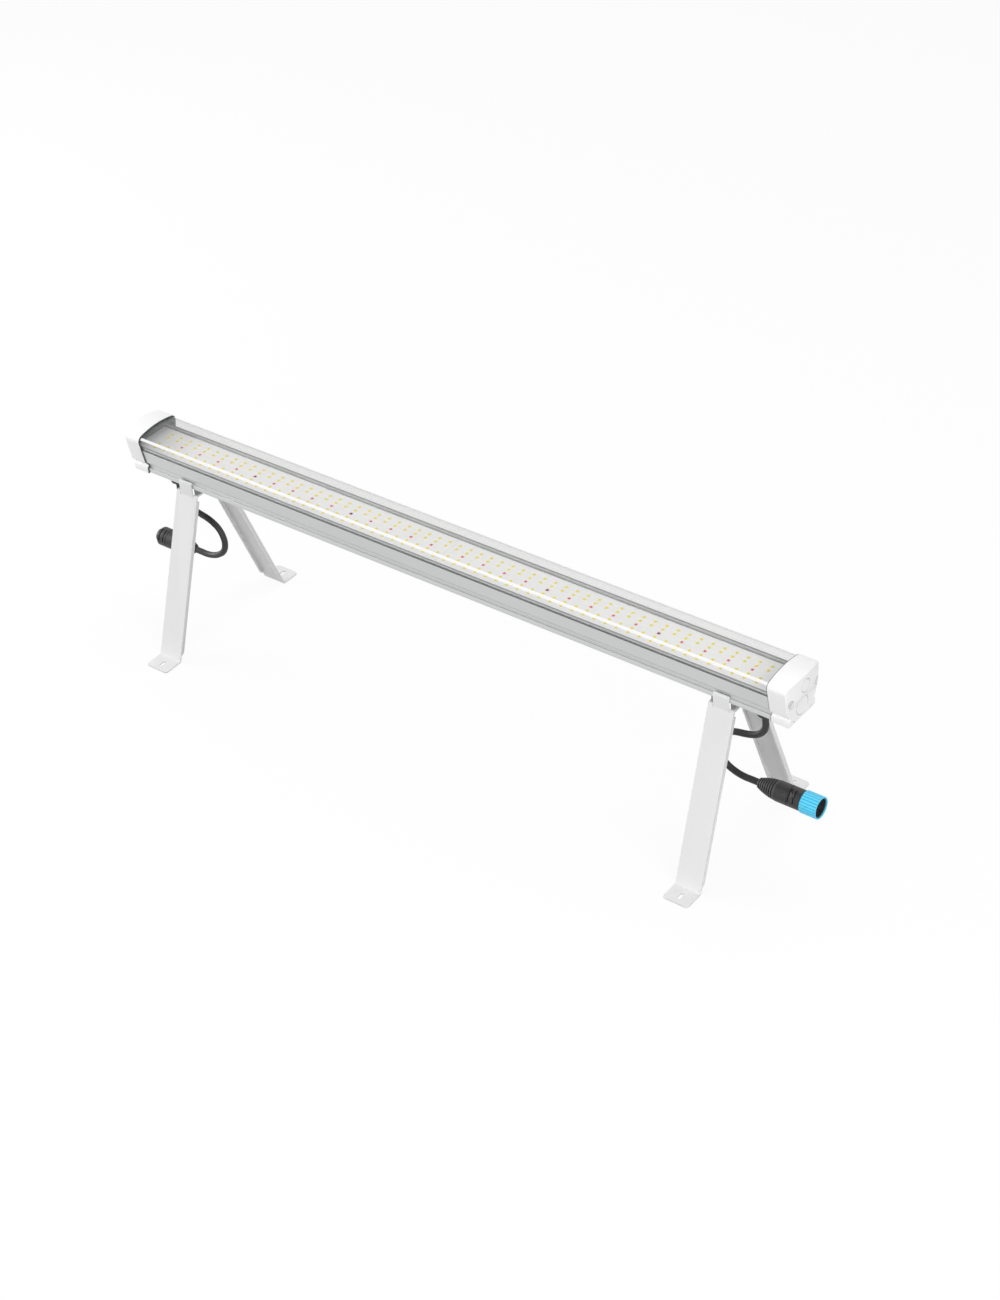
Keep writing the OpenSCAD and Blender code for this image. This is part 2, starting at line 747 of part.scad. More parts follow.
module gland_washers() {
    color([0.25, 0.25, 0.26]) for (s = [-1, 1]) {
        translate([s * gland_x, 0, bar_z - washer_t]) difference() {
            cylinder(r = thread_r + 2, h = washer_t);
            translate([0, 0, -over]) cylinder(r = thread_r + 0.2, h = washer_t + 2 * over);
        }
    }
}

module gland_locknuts() {
    color([0.17, 0.17, 0.18]) for (s = [-1, 1]) translate([s * gland_x, 0, floor_z]) difference() {
        hexagon(gland_af, 4.5);
        translate([0, 0, -over]) cylinder(r = thread_r + 0.1, h = 4.5 + 2 * over);
    }
}

// The cord inside its gland, and its wires up to the terminal block
module lead(side) {
    wire_z = bar_z + 27;
    color([0.22, 0.22, 0.22]) at_end(side) {
        translate([gland_x, 0, gland_bottom]) cylinder(r = cord_r, h = lead_top - gland_bottom);
        for (y = [-3, 0, 3]) {
            tube_wire([gland_x, y, lead_top - over], [gland_x, y, wire_z], wire_r);
            translate([gland_x, y, wire_z]) sphere(r = wire_r, $fn = 24);
            tube_wire([block_x + block_l / 2, y, wire_z], [gland_x, y, wire_z], wire_r);
        }
    }
}

// Ring of points round the cord at one point of its route
function cord_ring(i) =
    let (
        last = len(cord_route) - 1,
        run = unit(cord_route[min(i + 1, last)] - cord_route[max(i - 1, 0)]),
        at = cord_route[i]
    ) [for (k = [0:cord_sides - 1]) let (a = 360 * k / cord_sides)
        [at[0] - cord_r * sin(a) * run[1], cord_r * cos(a), at[1] + cord_r * sin(a) * run[0]]];

module cord(side) {
    rings = len(cord_route);
    points = [for (i = [0:rings - 1]) each cord_ring(i)];
    walls = [for (i = [0:rings - 2], k = [0:cord_sides - 1])
        let (a = i * cord_sides + k, b = i * cord_sides + (k + 1) % cord_sides)
        each [[a, b, b + cord_sides], [a, b + cord_sides, a + cord_sides]]];
    start = [[for (k = [cord_sides - 1:-1:0]) k]];
    end = [[for (k = [0:cord_sides - 1]) (rings - 1) * cord_sides + k]];
    color([0.22, 0.22, 0.22]) at_end(side) polyhedron(points, concat(walls, start, end));
}

function boot_r(t) = boot_start_r + (connector_r - boot_start_r) * (1 - pow(1 - t, 1.8));

// Ribbed boot, from the cord to the connector's body
module boot(side) {
    pitch = boot_l / boot_ribs;
    color([0.22, 0.22, 0.22]) at_end(side) on_axis(connector_x) rotate_extrude() polygon(concat(
        [[0, 0]],
        [for (k = [0:boot_ribs - 1]) let (r = boot_r((k + 0.5) / boot_ribs)) each
            [[r - 0.3, k * pitch], [r, k * pitch + 0.4], [r, (k + 0.6) * pitch],
            [r - rib_depth, (k + 0.7) * pitch], [r - rib_depth, (k + 1) * pitch]]],
        [[0, boot_l]]
    ));
}

// Narrow arc slots through the shell, on two opposite sides
module arc_slots(x) {
    for (turn = [45, 225]) on_axis(x - slot_gap_w / 2) rotate(turn - slot_arc / 2)
        rotate_extrude(angle = slot_arc) translate([connector_r - 2, 0]) square([4, slot_gap_w]);
}

module contact_ring(x, r, h, count) {
    on_axis(x) for (k = [0:count - 1]) rotate(360 * k / count) translate([contact_circle_r, 0, 0])
        cylinder(r = r, h = h, $fn = 24);
}

module shell_groove(x) {
    on_axis(x) difference() {
        cylinder(r = connector_r + over, h = 0.8);
        translate([0, 0, -over]) cylinder(r = connector_r - 0.6, h = 0.8 + 2 * over);
    }
}

module plug_boot() {
    boot(-1);
}

module socket_boot() {
    boot(1);
}

module socket_body() {
    color([0.2, 0.2, 0.2]) difference() {
        union() {
            on_axis(body_x) cylinder(r = connector_r, h = socket_body_l);
            on_axis(body_x) cylinder(r = barrel_r, h = socket_body_l + ring_l - 1.5);
        }
        on_axis(body_x + 2) cylinder(r = insert_r + 0.1, h = 80);
        shell_groove(body_x + 19);
        arc_slots(body_x + 21.6);
        arc_slots(body_x + 29.5);
    }
}

module socket_insert() {
    insert_l = socket_body_l + ring_l - 5;
    color([0.13, 0.13, 0.13]) difference() {
        on_axis(body_x + 2) cylinder(r = insert_r, h = insert_l);
        contact_ring(body_x + 20, contact_r + 0.1, 80, 3);
        on_axis(body_x + 2 + insert_l - 10) rotate(-160) translate([3.5, -1.2, 0]) cube([20, 2.4, 20]);
    }
}

module socket_contacts() {
    color([0.75, 0.62, 0.3]) difference() {
        contact_ring(body_x + 20, contact_r, socket_body_l + ring_l - 26, 3);
        contact_ring(body_x + 30, contact_r - 0.7, 80, 3);
    }
}

module locking_ring() {
    color([0.32, 0.78, 0.92]) on_axis(ring_x) difference() {
        cylinder(d = ring_d, h = ring_l);
        translate([0, 0, -over]) cylinder(r = barrel_r + ring_gap, h = ring_l + 2 * over);
    }
}

module plug_body() {
    color([0.2, 0.2, 0.2]) at_end(-1) difference() {
        union() {
            on_axis(body_x) cylinder(r = connector_r, h = plug_body_l);
            on_axis(body_x) cylinder(r = nose_r, h = plug_body_l + nose_l);
        }
        on_axis(body_x + 2) cylinder(r = nose_r - nose_wall, h = 80);
        shell_groove(body_x + plug_body_l - 16.7);
        arc_slots(body_x + plug_body_l - 11.3);
        arc_slots(body_x + plug_body_l - 3.7);
    }
}

module plug_insert() {
    color([0.13, 0.13, 0.13]) at_end(-1) difference() {
        on_axis(body_x + 2) cylinder(r = plug_insert_r, h = plug_body_l - 8);
        contact_ring(body_x + 10, 1.1, 80, 3);
    }
}

module plug_pins() {
    color([0.75, 0.62, 0.3]) at_end(-1) contact_ring(body_x + 10, 1, plug_body_l - 6, 3);
}

// Sheet shapes drawn as depth and height, as wide along the bar as given, about x = 0
module sheet_part(w) {
    translate([-w / 2, 0, 0]) rotate([90, 0, 90]) linear_extrude(w) children();
}

module leg_flanges() {
    inward = -edge_normal(leg_top, leg_foot);
    reach = (flange_d - half_sheet) * (inward[0] < 0 ? inward : -inward);
    for (x = [-1, 1]) translate([x * (stand_w - sheet) / 2, 0, 0]) sheet_part(sheet) polygon([
        leg_at(flange_foot), leg_at(flange_top), leg_at(flange_top) + reach,
        leg_at(flange_foot + 4) + reach, leg_at(flange_foot + 1) + reach / 2
    ]);
}

module clip_tab() {
    root = leg_at(stand_h - 8);
    bend = [clip_y, foot_mid + (web_mid - foot_mid) * (leg_foot[0] - clip_y) / (leg_foot[0] - leg_top[0])];
    lip_mid = lip_under + half_sheet;
    sheet_part(tab_w) polygon(strip(
        rounded([root, bend, [clip_y, lip_mid], [rail_y - lip_reach, lip_mid]], mid_r), sheet));
}

module foot_slot() {
    for (y = [-1, 1]) translate([0, slot_y + y * (slot_l - slot_w) / 2, -over])
        cylinder(d = slot_w, h = sheet + 2 * over);
    translate([-slot_w / 2, slot_y - (slot_l - slot_w) / 2, -over])
        cube([slot_w, slot_l - slot_w, sheet + 2 * over]);
}

// What is left outside the round corner of a foot
module foot_corner() {
    translate([stand_w / 2 - foot_corner_r, foot_span / 2 - foot_corner_r, -over])
        linear_extrude(sheet + 2 * over) difference() {
            square(foot_corner_r + over);
            circle(foot_corner_r);
        }
}

// One bent sheet: foot, leg, web, leg and foot, with flanges on the legs and two clip tabs
module stand(x) {
    half = [[foot_span / 2, foot_mid], leg_foot, leg_top];
    color([0.94, 0.94, 0.95]) translate([x, 0, 0]) {
        difference() {
            sheet_part(stand_w) polygon(strip(rounded(concat(half, mirrored(half)), mid_r), sheet));
            for (turn = [0, 180]) rotate(turn) {
                translate([-tab_w / 2 - relief, window_y, stand_h - 5])
                    cube([tab_w + 2 * relief, rail_w, 5 + over]);
                foot_slot();
                foot_corner();
                mirror([1, 0, 0]) foot_corner();
            }
            translate([0, 0, stand_h - sheet - over]) cylinder(r = stud_r, h = sheet + 2 * over);
        }
        for (turn = [0, 180]) rotate(turn) {
            leg_flanges();
            clip_tab();
        }
    }
}

// Pad on the strip of web between the two windows, held by a stud with a button below
module rest_pad(x) {
    length = stand_w - 8;
    foot_w = 2 * (window_y - 1);
    button_h = 1.4;
    color([0.25, 0.25, 0.26]) translate([x, 0, stand_h]) {
        translate([-length / 2, -foot_w / 2, 0]) cube([length, foot_w, pad_h]);
        translate([-length / 2, -pad_w / 2, pad_h - pad_head]) cube([length, pad_w, pad_head]);
        translate([0, 0, -sheet - button_h]) cylinder(r = stud_r + 1.2, h = button_h);
        translate([0, 0, -sheet - button_h / 2])
            cylinder(r = stud_r - stud_gap, h = sheet + button_h / 2 + over);
    }
}

housing();
lens_cover();
board(-1);  // board_left
board(1);  // board_right
tape(-1);  // tape_left
tape(1);  // tape_right
white_leds(-1);  // white_leds_left
white_leds(1);  // white_leds_right
red_leds();
deep_red_leds();
end_cap(-1);  // end_cap_left
end_cap(1);  // end_cap_right
cap_seal(-1);  // cap_seal_left
cap_seal(1);  // cap_seal_right
cap_screws();
driver_pads();
driver_case();
driver_lid();
driver_board();
driver_transformer();
driver_capacitors();
terminal_block(-1);  // terminal_block_left
terminal_block(1);  // terminal_block_right
through_wires();
driver_feed();
dc_leads();
earth_screw();
earth_lead();
gland_body(-1);  // gland_body_left
gland_body(1);  // gland_body_right
gland_nut(-1);  // gland_nut_left
gland_nut(1);  // gland_nut_right
gland_seals();
gland_washers();
gland_locknuts();
lead(-1);  // lead_left
lead(1);  // lead_right
cord(-1);  // cord_left
cord(1);  // cord_right
plug_boot();
plug_body();
plug_insert();
plug_pins();
socket_boot();
socket_body();
socket_insert();
socket_contacts();
locking_ring();
stand(-stand_x);  // stand_left
stand(stand_x);  // stand_right
rest_pad(-stand_x);  // rest_pad_left
rest_pad(stand_x);  // rest_pad_right
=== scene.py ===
# Light bar on two clip-on stands: the looks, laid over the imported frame. Sizes are in millimetres.
import math
import bpy
import bmesh
import numpy as np
from mathutils import Matrix, Vector
from mathutils.geometry import delaunay_2d_cdt


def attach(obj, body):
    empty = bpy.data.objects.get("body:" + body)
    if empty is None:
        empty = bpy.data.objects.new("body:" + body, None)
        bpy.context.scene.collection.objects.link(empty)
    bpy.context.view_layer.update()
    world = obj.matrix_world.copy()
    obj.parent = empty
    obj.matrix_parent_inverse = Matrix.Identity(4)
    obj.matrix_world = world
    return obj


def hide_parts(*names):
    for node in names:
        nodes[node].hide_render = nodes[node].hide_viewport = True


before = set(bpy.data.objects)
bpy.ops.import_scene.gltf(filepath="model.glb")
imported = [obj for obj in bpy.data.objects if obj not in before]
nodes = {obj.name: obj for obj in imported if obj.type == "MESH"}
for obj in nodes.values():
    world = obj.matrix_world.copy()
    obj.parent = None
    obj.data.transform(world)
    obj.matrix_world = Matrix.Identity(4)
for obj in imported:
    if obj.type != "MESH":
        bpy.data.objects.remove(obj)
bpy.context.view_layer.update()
scene = bpy.context.scene
mm = 0.001


def newObject(name, data):
    made = bpy.data.objects.new(name, data)
    scene.collection.objects.link(made)
    return made


# Camera: the photograph's viewpoint
view = {
    "lens": 73.41, "sensor": 36,
    "place": (1.97419, -2.20995, 2.36960),
    "right": (0.79155511, 0.60683849, -0.0720247),
    "up": (-0.32313155, 0.51567139, 0.79351687),
    "forward": (-0.51867765, 0.60483888, -0.60427099),
}
cameraData = bpy.data.cameras.new("photoCamera")
cameraData.lens = view["lens"]
cameraData.sensor_width = view["sensor"]
camera = newObject("photoCamera", cameraData)
axes = Matrix((view["right"], view["up"], [-v for v in view["forward"]])).transposed()
camera.matrix_world = Matrix.Translation(view["place"]) @ axes.to_4x4()
scene.camera = camera
scene.view_settings.view_transform = "Standard"


def linear(code):  # sRGB hex to the linear colour that shaders use
    parts = [int(code[i:i + 2], 16) / 255 for i in (1, 3, 5)]
    return [p / 12.92 if p <= 0.04045 else ((p + 0.055) / 1.055) ** 2.4 for p in parts] + [1]


def connect(tree, node, links):  # a source may be given as a node, which stands for its first output
    for name, source in links.items():
        tree.links.new(getattr(source, "outputs", [source])[0], node.inputs[name])


def setSockets(node, values):
    for name, value in values.items():
        node.inputs[name].default_value = value


def addNode(tree, kind, settings=None, links=None):
    node = tree.nodes.new(kind)
    for name, value in (settings or {}).items():
        if isinstance(name, int) or name in node.inputs:
            node.inputs[name].default_value = value
        else:
            setattr(node, name, value)
    connect(tree, node, links or {})
    return node


def newMaterial(name):  # with its tree, its Principled shader and the place of each point in its object
    material = bpy.data.materials.new(name)
    material.use_nodes = True
    tree = material.node_tree
    return material, tree, tree.nodes["Principled BSDF"], addNode(tree, "ShaderNodeTexCoord").outputs["Object"]


def addRelief(tree, shader, height, low, high, relief):  # gloss between two roughnesses, and bump in millimetres
    gloss = addNode(tree, "ShaderNodeMapRange", {
        "From Min": 0.3, "From Max": 0.7, "To Min": low, "To Max": high}, {"Value": height})
    bump = addNode(tree, "ShaderNodeBump", {"Strength": 1.0, "Distance": relief * mm}, {"Height": height})
    connect(tree, shader, {"Roughness": gloss, "Normal": bump})


def surface(name, colour, tint, blotch, grain, rough, swing, relief, **sockets):
    # blotch is the size of the slow change from colour to tint, grain that of the fine relief, relief its height
    # and swing what it adds to and takes from the roughness. Sockets are the shader's own.
    material, tree, shader, place = newMaterial(name)
    broad = addNode(tree, "ShaderNodeTexNoise", {"Scale": 1000 / blotch, "Detail": 3.0}, {"Vector": place})
    tone = addNode(tree, "ShaderNodeMix", {"data_type": "RGBA", 6: linear(colour), 7: linear(tint)}, {0: broad})
    grains = grain if isinstance(grain, tuple) else (grain, grain, grain)
    stretch = addNode(tree, "ShaderNodeMapping", {"Scale": [1000 / g for g in grains]}, {"Vector": place})
    fine = addNode(tree, "ShaderNodeTexNoise", {"Scale": 1.0, "Detail": 3.0}, {"Vector": stretch})
    connect(tree, shader, {"Base Color": tone.outputs[2]})
    addRelief(tree, shader, fine, rough - swing, rough + swing, relief)
    setSockets(shader, sockets)
    return material


def finishMesh(data, material, smooth):  # edges that turn more than this many degrees stay sharp
    data.materials.clear()
    data.materials.append(material)
    data.shade_smooth()
    data.set_sharp_from_angle(angle=math.radians(smooth))


def mesh(name, points, faces, material, smooth=30):
    data = bpy.data.meshes.new(name)
    data.from_pydata([tuple(p) for p in points], [], [tuple(f) for f in faces])
    build = bmesh.new()
    build.from_mesh(data)
    bmesh.ops.remove_doubles(build, verts=build.verts, dist=1e-7)
    bmesh.ops.recalc_face_normals(build, faces=build.faces)
    build.to_mesh(data)
    build.free()
    finishMesh(data, material, smooth)
    return data


def setPiece(name, data, body, replaced):
    piece = newObject(name, data)
    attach(piece, body)
    if replaced:
        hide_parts(*replaced)
    return piece


def modified(name, data, kind, settings, given=None):  # what one modifier makes of a mesh, as a plain mesh
    blank = newObject(name, data)
    modifier = blank.modifiers.new(kind.lower(), kind)
    for key, value in settings.items():
        setattr(modifier, key, value)
    for key, value in (given or {}).items():
        modifier[key] = value
    bpy.context.view_layer.update()
    graph = bpy.context.evaluated_depsgraph_get()
    result = bpy.data.meshes.new_from_object(blank.evaluated_get(graph))
    bpy.data.objects.remove(blank)
    return result


def roundedEdges(name, data, width):
    return modified(name, data, "BEVEL", {
        "width": width * mm, "segments": 2, "limit_method": "ANGLE", "angle_limit": math.radians(30)})


def softened(node, name, width, material, body):  # a copy of a CAD node with its sharp edges rounded
    data = nodes[node].data.copy()
    build = bmesh.new()
    build.from_mesh(data)
    bmesh.ops.remove_doubles(build, verts=build.verts, dist=1e-6)
    bmesh.ops.dissolve_limit(build, angle_limit=math.radians(1), verts=build.verts, edges=build.edges)
    build.to_mesh(data)
    build.free()
    data = roundedEdges(name, data, width)
    finishMesh(data, material, 20)
    setPiece(name, data, body, [node])


def addRod(build, place, r, low, high):  # upright rod, with its heights counted from the place's own
    x, y, base = place
    middle = Matrix.Translation((x * mm, y * mm, (base + (low + high) / 2) * mm))
    bmesh.ops.create_cone(build, cap_ends=True, segments=40, radius1=r * mm, radius2=r * mm,
                          depth=(high - low) * mm, matrix=middle)


def markGrooves(data, depthAt):  # share of a groove's depth at each vertex, from its place in millimetres
    marks = data.attributes.new("groove", "FLOAT", "POINT")
    for vertex, mark in zip(data.vertices, marks.data):
        mark.value = depthAt(*(vertex.co / mm))


print("camera and helpers set")

# Outline of the bar, as half width and height above the rail's underside
bar = {
    "rest": 257.7, "halfLength": 558, "railY": 28.8, "railTop": 7.3, "neckY": 26.2, "neckTop": 12.6,
    "sideY": 31.7, "sideFoot": 19.0, "lean": 9.4, "shoulder": (30.745, 56.05), "shoulderR": 7.0,
    "crown": (0, -68.2), "crownR": 135.0,
}
crownAngle = math.degrees(math.atan2(bar["shoulder"][1] - bar["crown"][1], bar["shoulder"][0]))

# Materials

# extruded aluminium, natural anodised: satin grey with fine die lines along the bar
anodisedAluminium = surface(
    "anodisedExtrudedAluminium", "#CFD1D0", "#C8CAC9", blotch=90, grain=(260, 0.7, 0.7),
    rough=0.46, swing=0.05, relief=0.004, Metallic=1.0)
# ABS, injection moulded and spark-eroded: near white, with a fine leathery grain that dulls the gloss
mouldedCapAbs = surface(
    "mouldedWhiteAbs", "#F7F7F7", "#F4F4F4", blotch=40, grain=0.6,
    rough=0.42, swing=0.06, relief=0.02, IOR=1.53)


def recolour(material, settings, links):  # one more mix between a material's colour and its shader
    tree = material.node_tree
    shader = tree.nodes["Principled BSDF"]
    clean = shader.inputs["Base Color"].links[0].from_socket
    mix = addNode(tree, "ShaderNodeMix", {"data_type": "RGBA", **settings}, {6: clean, **links})
    connect(tree, shader, {"Base Color": mix.outputs[2]})


def paintGrooveShade(material, code):
    # painted shade: the attribute that holds a groove's depth darkens the colour there, standing in for the shade
    # that falls in the groove
    depth = addNode(material.node_tree, "ShaderNodeAttribute", {"attribute_name": "groove"})
    recolour(material, {7: linear(code)}, {0: depth.outputs["Fac"]})


# painted shade: the caps' grooves and recess walls turn grey
paintGrooveShade(mouldedCapAbs, "#A9A9A8")
# silicone, extruded: mid grey and satin, for the strips under the lens's edges and for the rest pads; the grey
# also stands in for the shade there, so it is partly painted shade
siliconePaintedShade = surface(
    "extrudedSiliconePaintedShade", "#858687", "#7D7E7F", blotch=30, grain=(20, 0.5, 0.5),
    rough=0.55, swing=0.06, relief=0.01, IOR=1.41)
# silicone, moulded: dark grey and dull
siliconeSeal = surface(
    "mouldedSilicone", "#5A5C5E", "#505254", blotch=20, grain=0.4,
    rough=0.62, swing=0.08, relief=0.01, IOR=1.41)
# sheet steel with polyester powder coat: white with a slight orange peel in the gloss
powderCoat = surface(
    "powderCoatedSteel", "#E7E7E7", "#E3E3E3", blotch=60, grain=1.8,
    rough=0.34, swing=0.05, relief=0.03, IOR=1.5)
# PVC jacket, extruded: dark grey with a satin skin
cableJacket = surface(
    "extrudedPvcJacket", "#212121", "#1B1B1C", blotch=25, grain=0.9,
    rough=0.5, swing=0.08, relief=0.02, IOR=1.53)
# nylon with glass fibre, moulded: dark, with a sandy skin
mouldedNylon = surface(
    "mouldedGlassNylon", "#222222", "#1C1C1D", blotch=14, grain=0.35,
    rough=0.46, swing=0.1, relief=0.015, IOR=1.53)
# TPE, overmoulded: softer than the nylon, with lighter ribs, and painted shade, near black, in the grooves between
# them
overmouldedTpe = surface(
    "overmouldedTpe", "#424242", "#3B3B3C", blotch=18, grain=0.5,
    rough=0.5, swing=0.08, relief=0.02, IOR=1.5)
# painted shade, near black, in the boots' grooves
paintGrooveShade(overmouldedTpe, "#020202")
# black PBT, moulded against a blasted tool: the contact carrier, deep black and nearly without gloss
mouldedPbt = surface(
    "mouldedBlackPbt", "#0C0C0D", "#090909", blotch=12, grain=0.4,
    rough=0.7, swing=0.08, relief=0.01, IOR=1.55, **{"Specular IOR Level": 0.15})
# cyan ABS, moulded: clear bright colour with a satin gloss
cyanAbs = surface(
    "mouldedCyanAbs", "#5FDCFE", "#58D5FA", blotch=16, grain=0.4,
    rough=0.36, swing=0.06, relief=0.01, IOR=1.53)
# painted shade, a darker cyan, in the gaps between the ring's ribs
paintGrooveShade(cyanAbs, "#2FA6D2")
# brass, turned and plated with tin over nickel: pale gold with turning marks
platedBrass = surface(
    "turnedPlatedBrass", "#D9BE7A", "#CFB069", blotch=6, grain=(0.15, 2, 2),
    rough=0.28, swing=0.06, relief=0.004, Metallic=1.0)
# steel, cold headed and zinc plated: bluish silver
zincSteel = surface(
    "zincPlatedSteel", "#BFC2C6", "#AFB3B8", blotch=4, grain=0.4,
    rough=0.34, swing=0.08, relief=0.006, Metallic=1.0)
# steel screw with white paint, so that it goes with the caps
paintedSteel = surface(
    "paintedScrewSteel", "#E6E6E6", "#DCDCDC", blotch=4, grain=0.5,
    rough=0.38, swing=0.06, relief=0.01, IOR=1.5)
# aluminium, die cast: the driver's case, grey and slightly mottled
castAluminium = surface(
    "dieCastAluminium", "#B4B6B8", "#A2A5A8", blotch=12, grain=1.2,
    rough=0.5, swing=0.1, relief=0.03, Metallic=1.0)
# epoxy glass board with green solder mask
greenMask = surface(
    "greenSolderMask", "#27633A", "#1F5230", blotch=9, grain=0.8,
    rough=0.35, swing=0.05, relief=0.01, IOR=1.55)
# enamelled copper wound over a ferrite core: brown gold with close turns
windingCopper = surface(
    "enamelledCopperWinding", "#B98A3C", "#8F6527", blotch=5, grain=(0.5, 6, 0.5),
    rough=0.4, swing=0.08, relief=0.08, IOR=1.5)
# PET sleeve shrunk over an aluminium can
shrinkSleeve = surface(
    "shrunkPetSleeve", "#2A2F45", "#23283C", blotch=8, grain=(2, 2, 4),
    rough=0.3, swing=0.05, relief=0.01, IOR=1.57)
# polyamide, moulded, natural: the terminal blocks
naturalPolyamide = surface(
    "naturalPolyamide", "#E6E2D4", "#DEDACA", blotch=15, grain=0.8,
    rough=0.45, swing=0.06, relief=0.015, IOR=1.53, **{"Subsurface Weight": 0.05})
# PVC insulation on single wires, one finish for each use
wireColours = {"feed": ("#7A4A2C", "#6E4126"), "through": ("#4A4641", "#413D38"),
               "dc": ("#B3241E", "#A11F1A"), "earth": ("#6E9A32", "#B9B437")}
wireInsulation = {use: surface(
    "pvcWire" + use.capitalize(), colour, tint, blotch=7, grain=1, rough=0.42, swing=0.05, relief=0.01, IOR=1.53)
    for use, (colour, tint) in wireColours.items()}
# silicone pad filled with alumina: thermal tape and the pads under the driver
thermalPad = surface(
    "filledSiliconePad", "#8C9199", "#81868E", blotch=10, grain=0.5,
    rough=0.7, swing=0.06, relief=0.02, IOR=1.41)
# phosphor in silicone: warm yellow and slightly domed gloss, mottled by its grains
phosphor = surface(
    "phosphorSilicone", "#FFEE00", "#F8E400", blotch=0.9, grain=0.3,
    rough=0.3, swing=0.08, relief=0.01, IOR=1.41)
# clear silicone over a red or a deep red chip: pinkish red, and dark red
redWindow, deepRedWindow = [surface(
    name + "LedSilicone", colour, tint, blotch=0.9, grain=0.3, rough=0.25, swing=0.06, relief=0.01, IOR=1.41)
    for name, colour, tint in (("red", "#F04856", "#E43B48"), ("deepRed", "#960008", "#840006"))]
# PCT, moulded: the bodies of the LEDs, lit by their fill, so yellow, pale pink and deep red
ledPackage, redPackage, deepRedPackage = [surface(
    "mouldedPctPackage" + word, colour, tint, blotch=1.5, grain=0.4, rough=0.45, swing=0.05, relief=0.01, IOR=1.6)
    for word, colour, tint in (
        ("", "#F6E04A", "#EBD33C"), ("Red", "#F4CFD0", "#ECC3C4"), ("DeepRed", "#A3222C", "#941B25"))]
# solder mask printed white over copper on an aluminium board: copper areas look cooler between faint lines,
# which follow the pitch and the rows of the LEDs
boardMask = surface(
    "whiteSolderMask", "#FBFBFA", "#F6F6F5", blotch=30, grain=0.5,
    rough=0.38, swing=0.05, relief=0.008, IOR=1.55)
boardPlace = addNode(boardMask.node_tree, "ShaderNodeTexCoord").outputs["Object"]
copperAreas = addNode(boardMask.node_tree, "ShaderNodeTexBrick", {
    "Scale": 1.0, "Brick Width": 18 * mm, "Row Height": 9.36 * mm, "Mortar Size": 0.3 * mm, "Mortar Smooth": 0.3,
    "Color1": (1, 1, 1, 1), "Color2": (0.985, 0.985, 0.985, 1), "Mortar": (0.93, 0.935, 0.94, 1)},
    {"Vector": boardPlace})
recolour(boardMask, {"blend_type": "MULTIPLY", 0: 1.0}, {7: copperAreas})

# Lens plastic: draw lines are counted per metre, and the edges of the painted highlight strip are distances from
# the middle of the bar. Both faces of the thin wall are there, so with a low IOR hardly anything shifts behind it,
# and the coat mirrors as polycarbonate does.
lensLook = {
    "flat": "#F3F3F3", "edgeOn": "#B0B1B1", "facing": (0.5, 0.97), "drawLines": (5, 380, 380), "relief": 0.0006,
    "rough": (0.004, 0.014), "paintedHighlightStart": (32.8, 33.6), "paintedHighlightEnd": (36.8, 36.3), "paintedHighlightAbove": 59.2,
    "mirror": 0.9, "shadow": "#FBFBFB", "shader": {
        "Transmission Weight": 1.0, "IOR": 1.01, "Coat Weight": 1.0, "Coat Roughness": 0.05, "Coat IOR": 1.45},
}


def clearPolycarbonate():
    # extruded clear polycarbonate: tints what lies behind it, with faint draw lines along the bar
    look = lensLook
    material, tree, shader, place = newMaterial("extrudedPolycarbonate")
    stretch = addNode(tree, "ShaderNodeMapping", {"Scale": look["drawLines"]}, {"Vector": place})
    lines = addNode(tree, "ShaderNodeTexNoise", {"Scale": 1.0, "Detail": 2.0}, {"Vector": stretch})
    addRelief(tree, shader, lines, *look["rough"], look["relief"])
    # seen edge-on, the wall is thick and lets less through
    facing = addNode(tree, "ShaderNodeLayerWeight", {"Blend": 0.5})
    thick = addNode(tree, "ShaderNodeMapRange", {
        "From Min": look["facing"][0], "From Max": look["facing"][1]}, {"Value": facing.outputs["Facing"]})
    tone = addNode(tree, "ShaderNodeMix", {
        "data_type": "RGBA", 6: linear(look["flat"]), 7: linear(look["edgeOn"])}, {0: thick})
    # painted highlight: a white, metallic strip along each shoulder, set by height and distance from the middle,
    # stands in for the lamps' reflection
    spread = addNode(tree, "ShaderNodeSeparateXYZ", {}, {0: place})
    across = addNode(tree, "ShaderNodeMath", {"operation": "ABSOLUTE"}, {0: spread.outputs[1]})
    rising, falling = [addNode(tree, "ShaderNodeMapRange", {
        "From Min": ends[0] * mm, "From Max": ends[1] * mm}, {"Value": across})
        for ends in (look["paintedHighlightStart"], look["paintedHighlightEnd"])]
    above = addNode(tree, "ShaderNodeMath", {
        "operation": "GREATER_THAN", 1: (bar["rest"] + look["paintedHighlightAbove"]) * mm}, {0: spread.outputs[2]})
    curve = addNode(tree, "ShaderNodeMath", {"operation": "MULTIPLY"}, {0: rising, 1: falling})
    strip = addNode(tree, "ShaderNodeMath", {"operation": "MULTIPLY"}, {0: curve, 1: above})
    mirror = addNode(tree, "ShaderNodeMath", {"operation": "MULTIPLY", 1: look["mirror"]}, {0: strip})
    bright = addNode(tree, "ShaderNodeMix", {"data_type": "RGBA", 7: (1, 1, 1, 1)}, {0: strip, 6: tone.outputs[2]})
    connect(tree, shader, {"Base Color": bright.outputs[2], "Metallic": mirror})
    setSockets(shader, look["shader"])
    # lamps reach the boards through the lens, which Cycles would otherwise leave in the dark
    through = addNode(tree, "ShaderNodeBsdfTransparent", {"Color": linear(look["shadow"])})
    path = addNode(tree, "ShaderNodeLightPath").outputs
    plain = addNode(tree, "ShaderNodeMath", {"operation": "MAXIMUM"}, {
        0: path["Is Shadow Ray"], 1: path["Is Diffuse Ray"]})
    both = addNode(tree, "ShaderNodeMixShader", {}, {0: plain, 1: shader, 2: through})
    connect(tree, tree.nodes["Material Output"], {"Surface": both})
    return material


lensPlastic = clearPolycarbonate()
print("materials made")

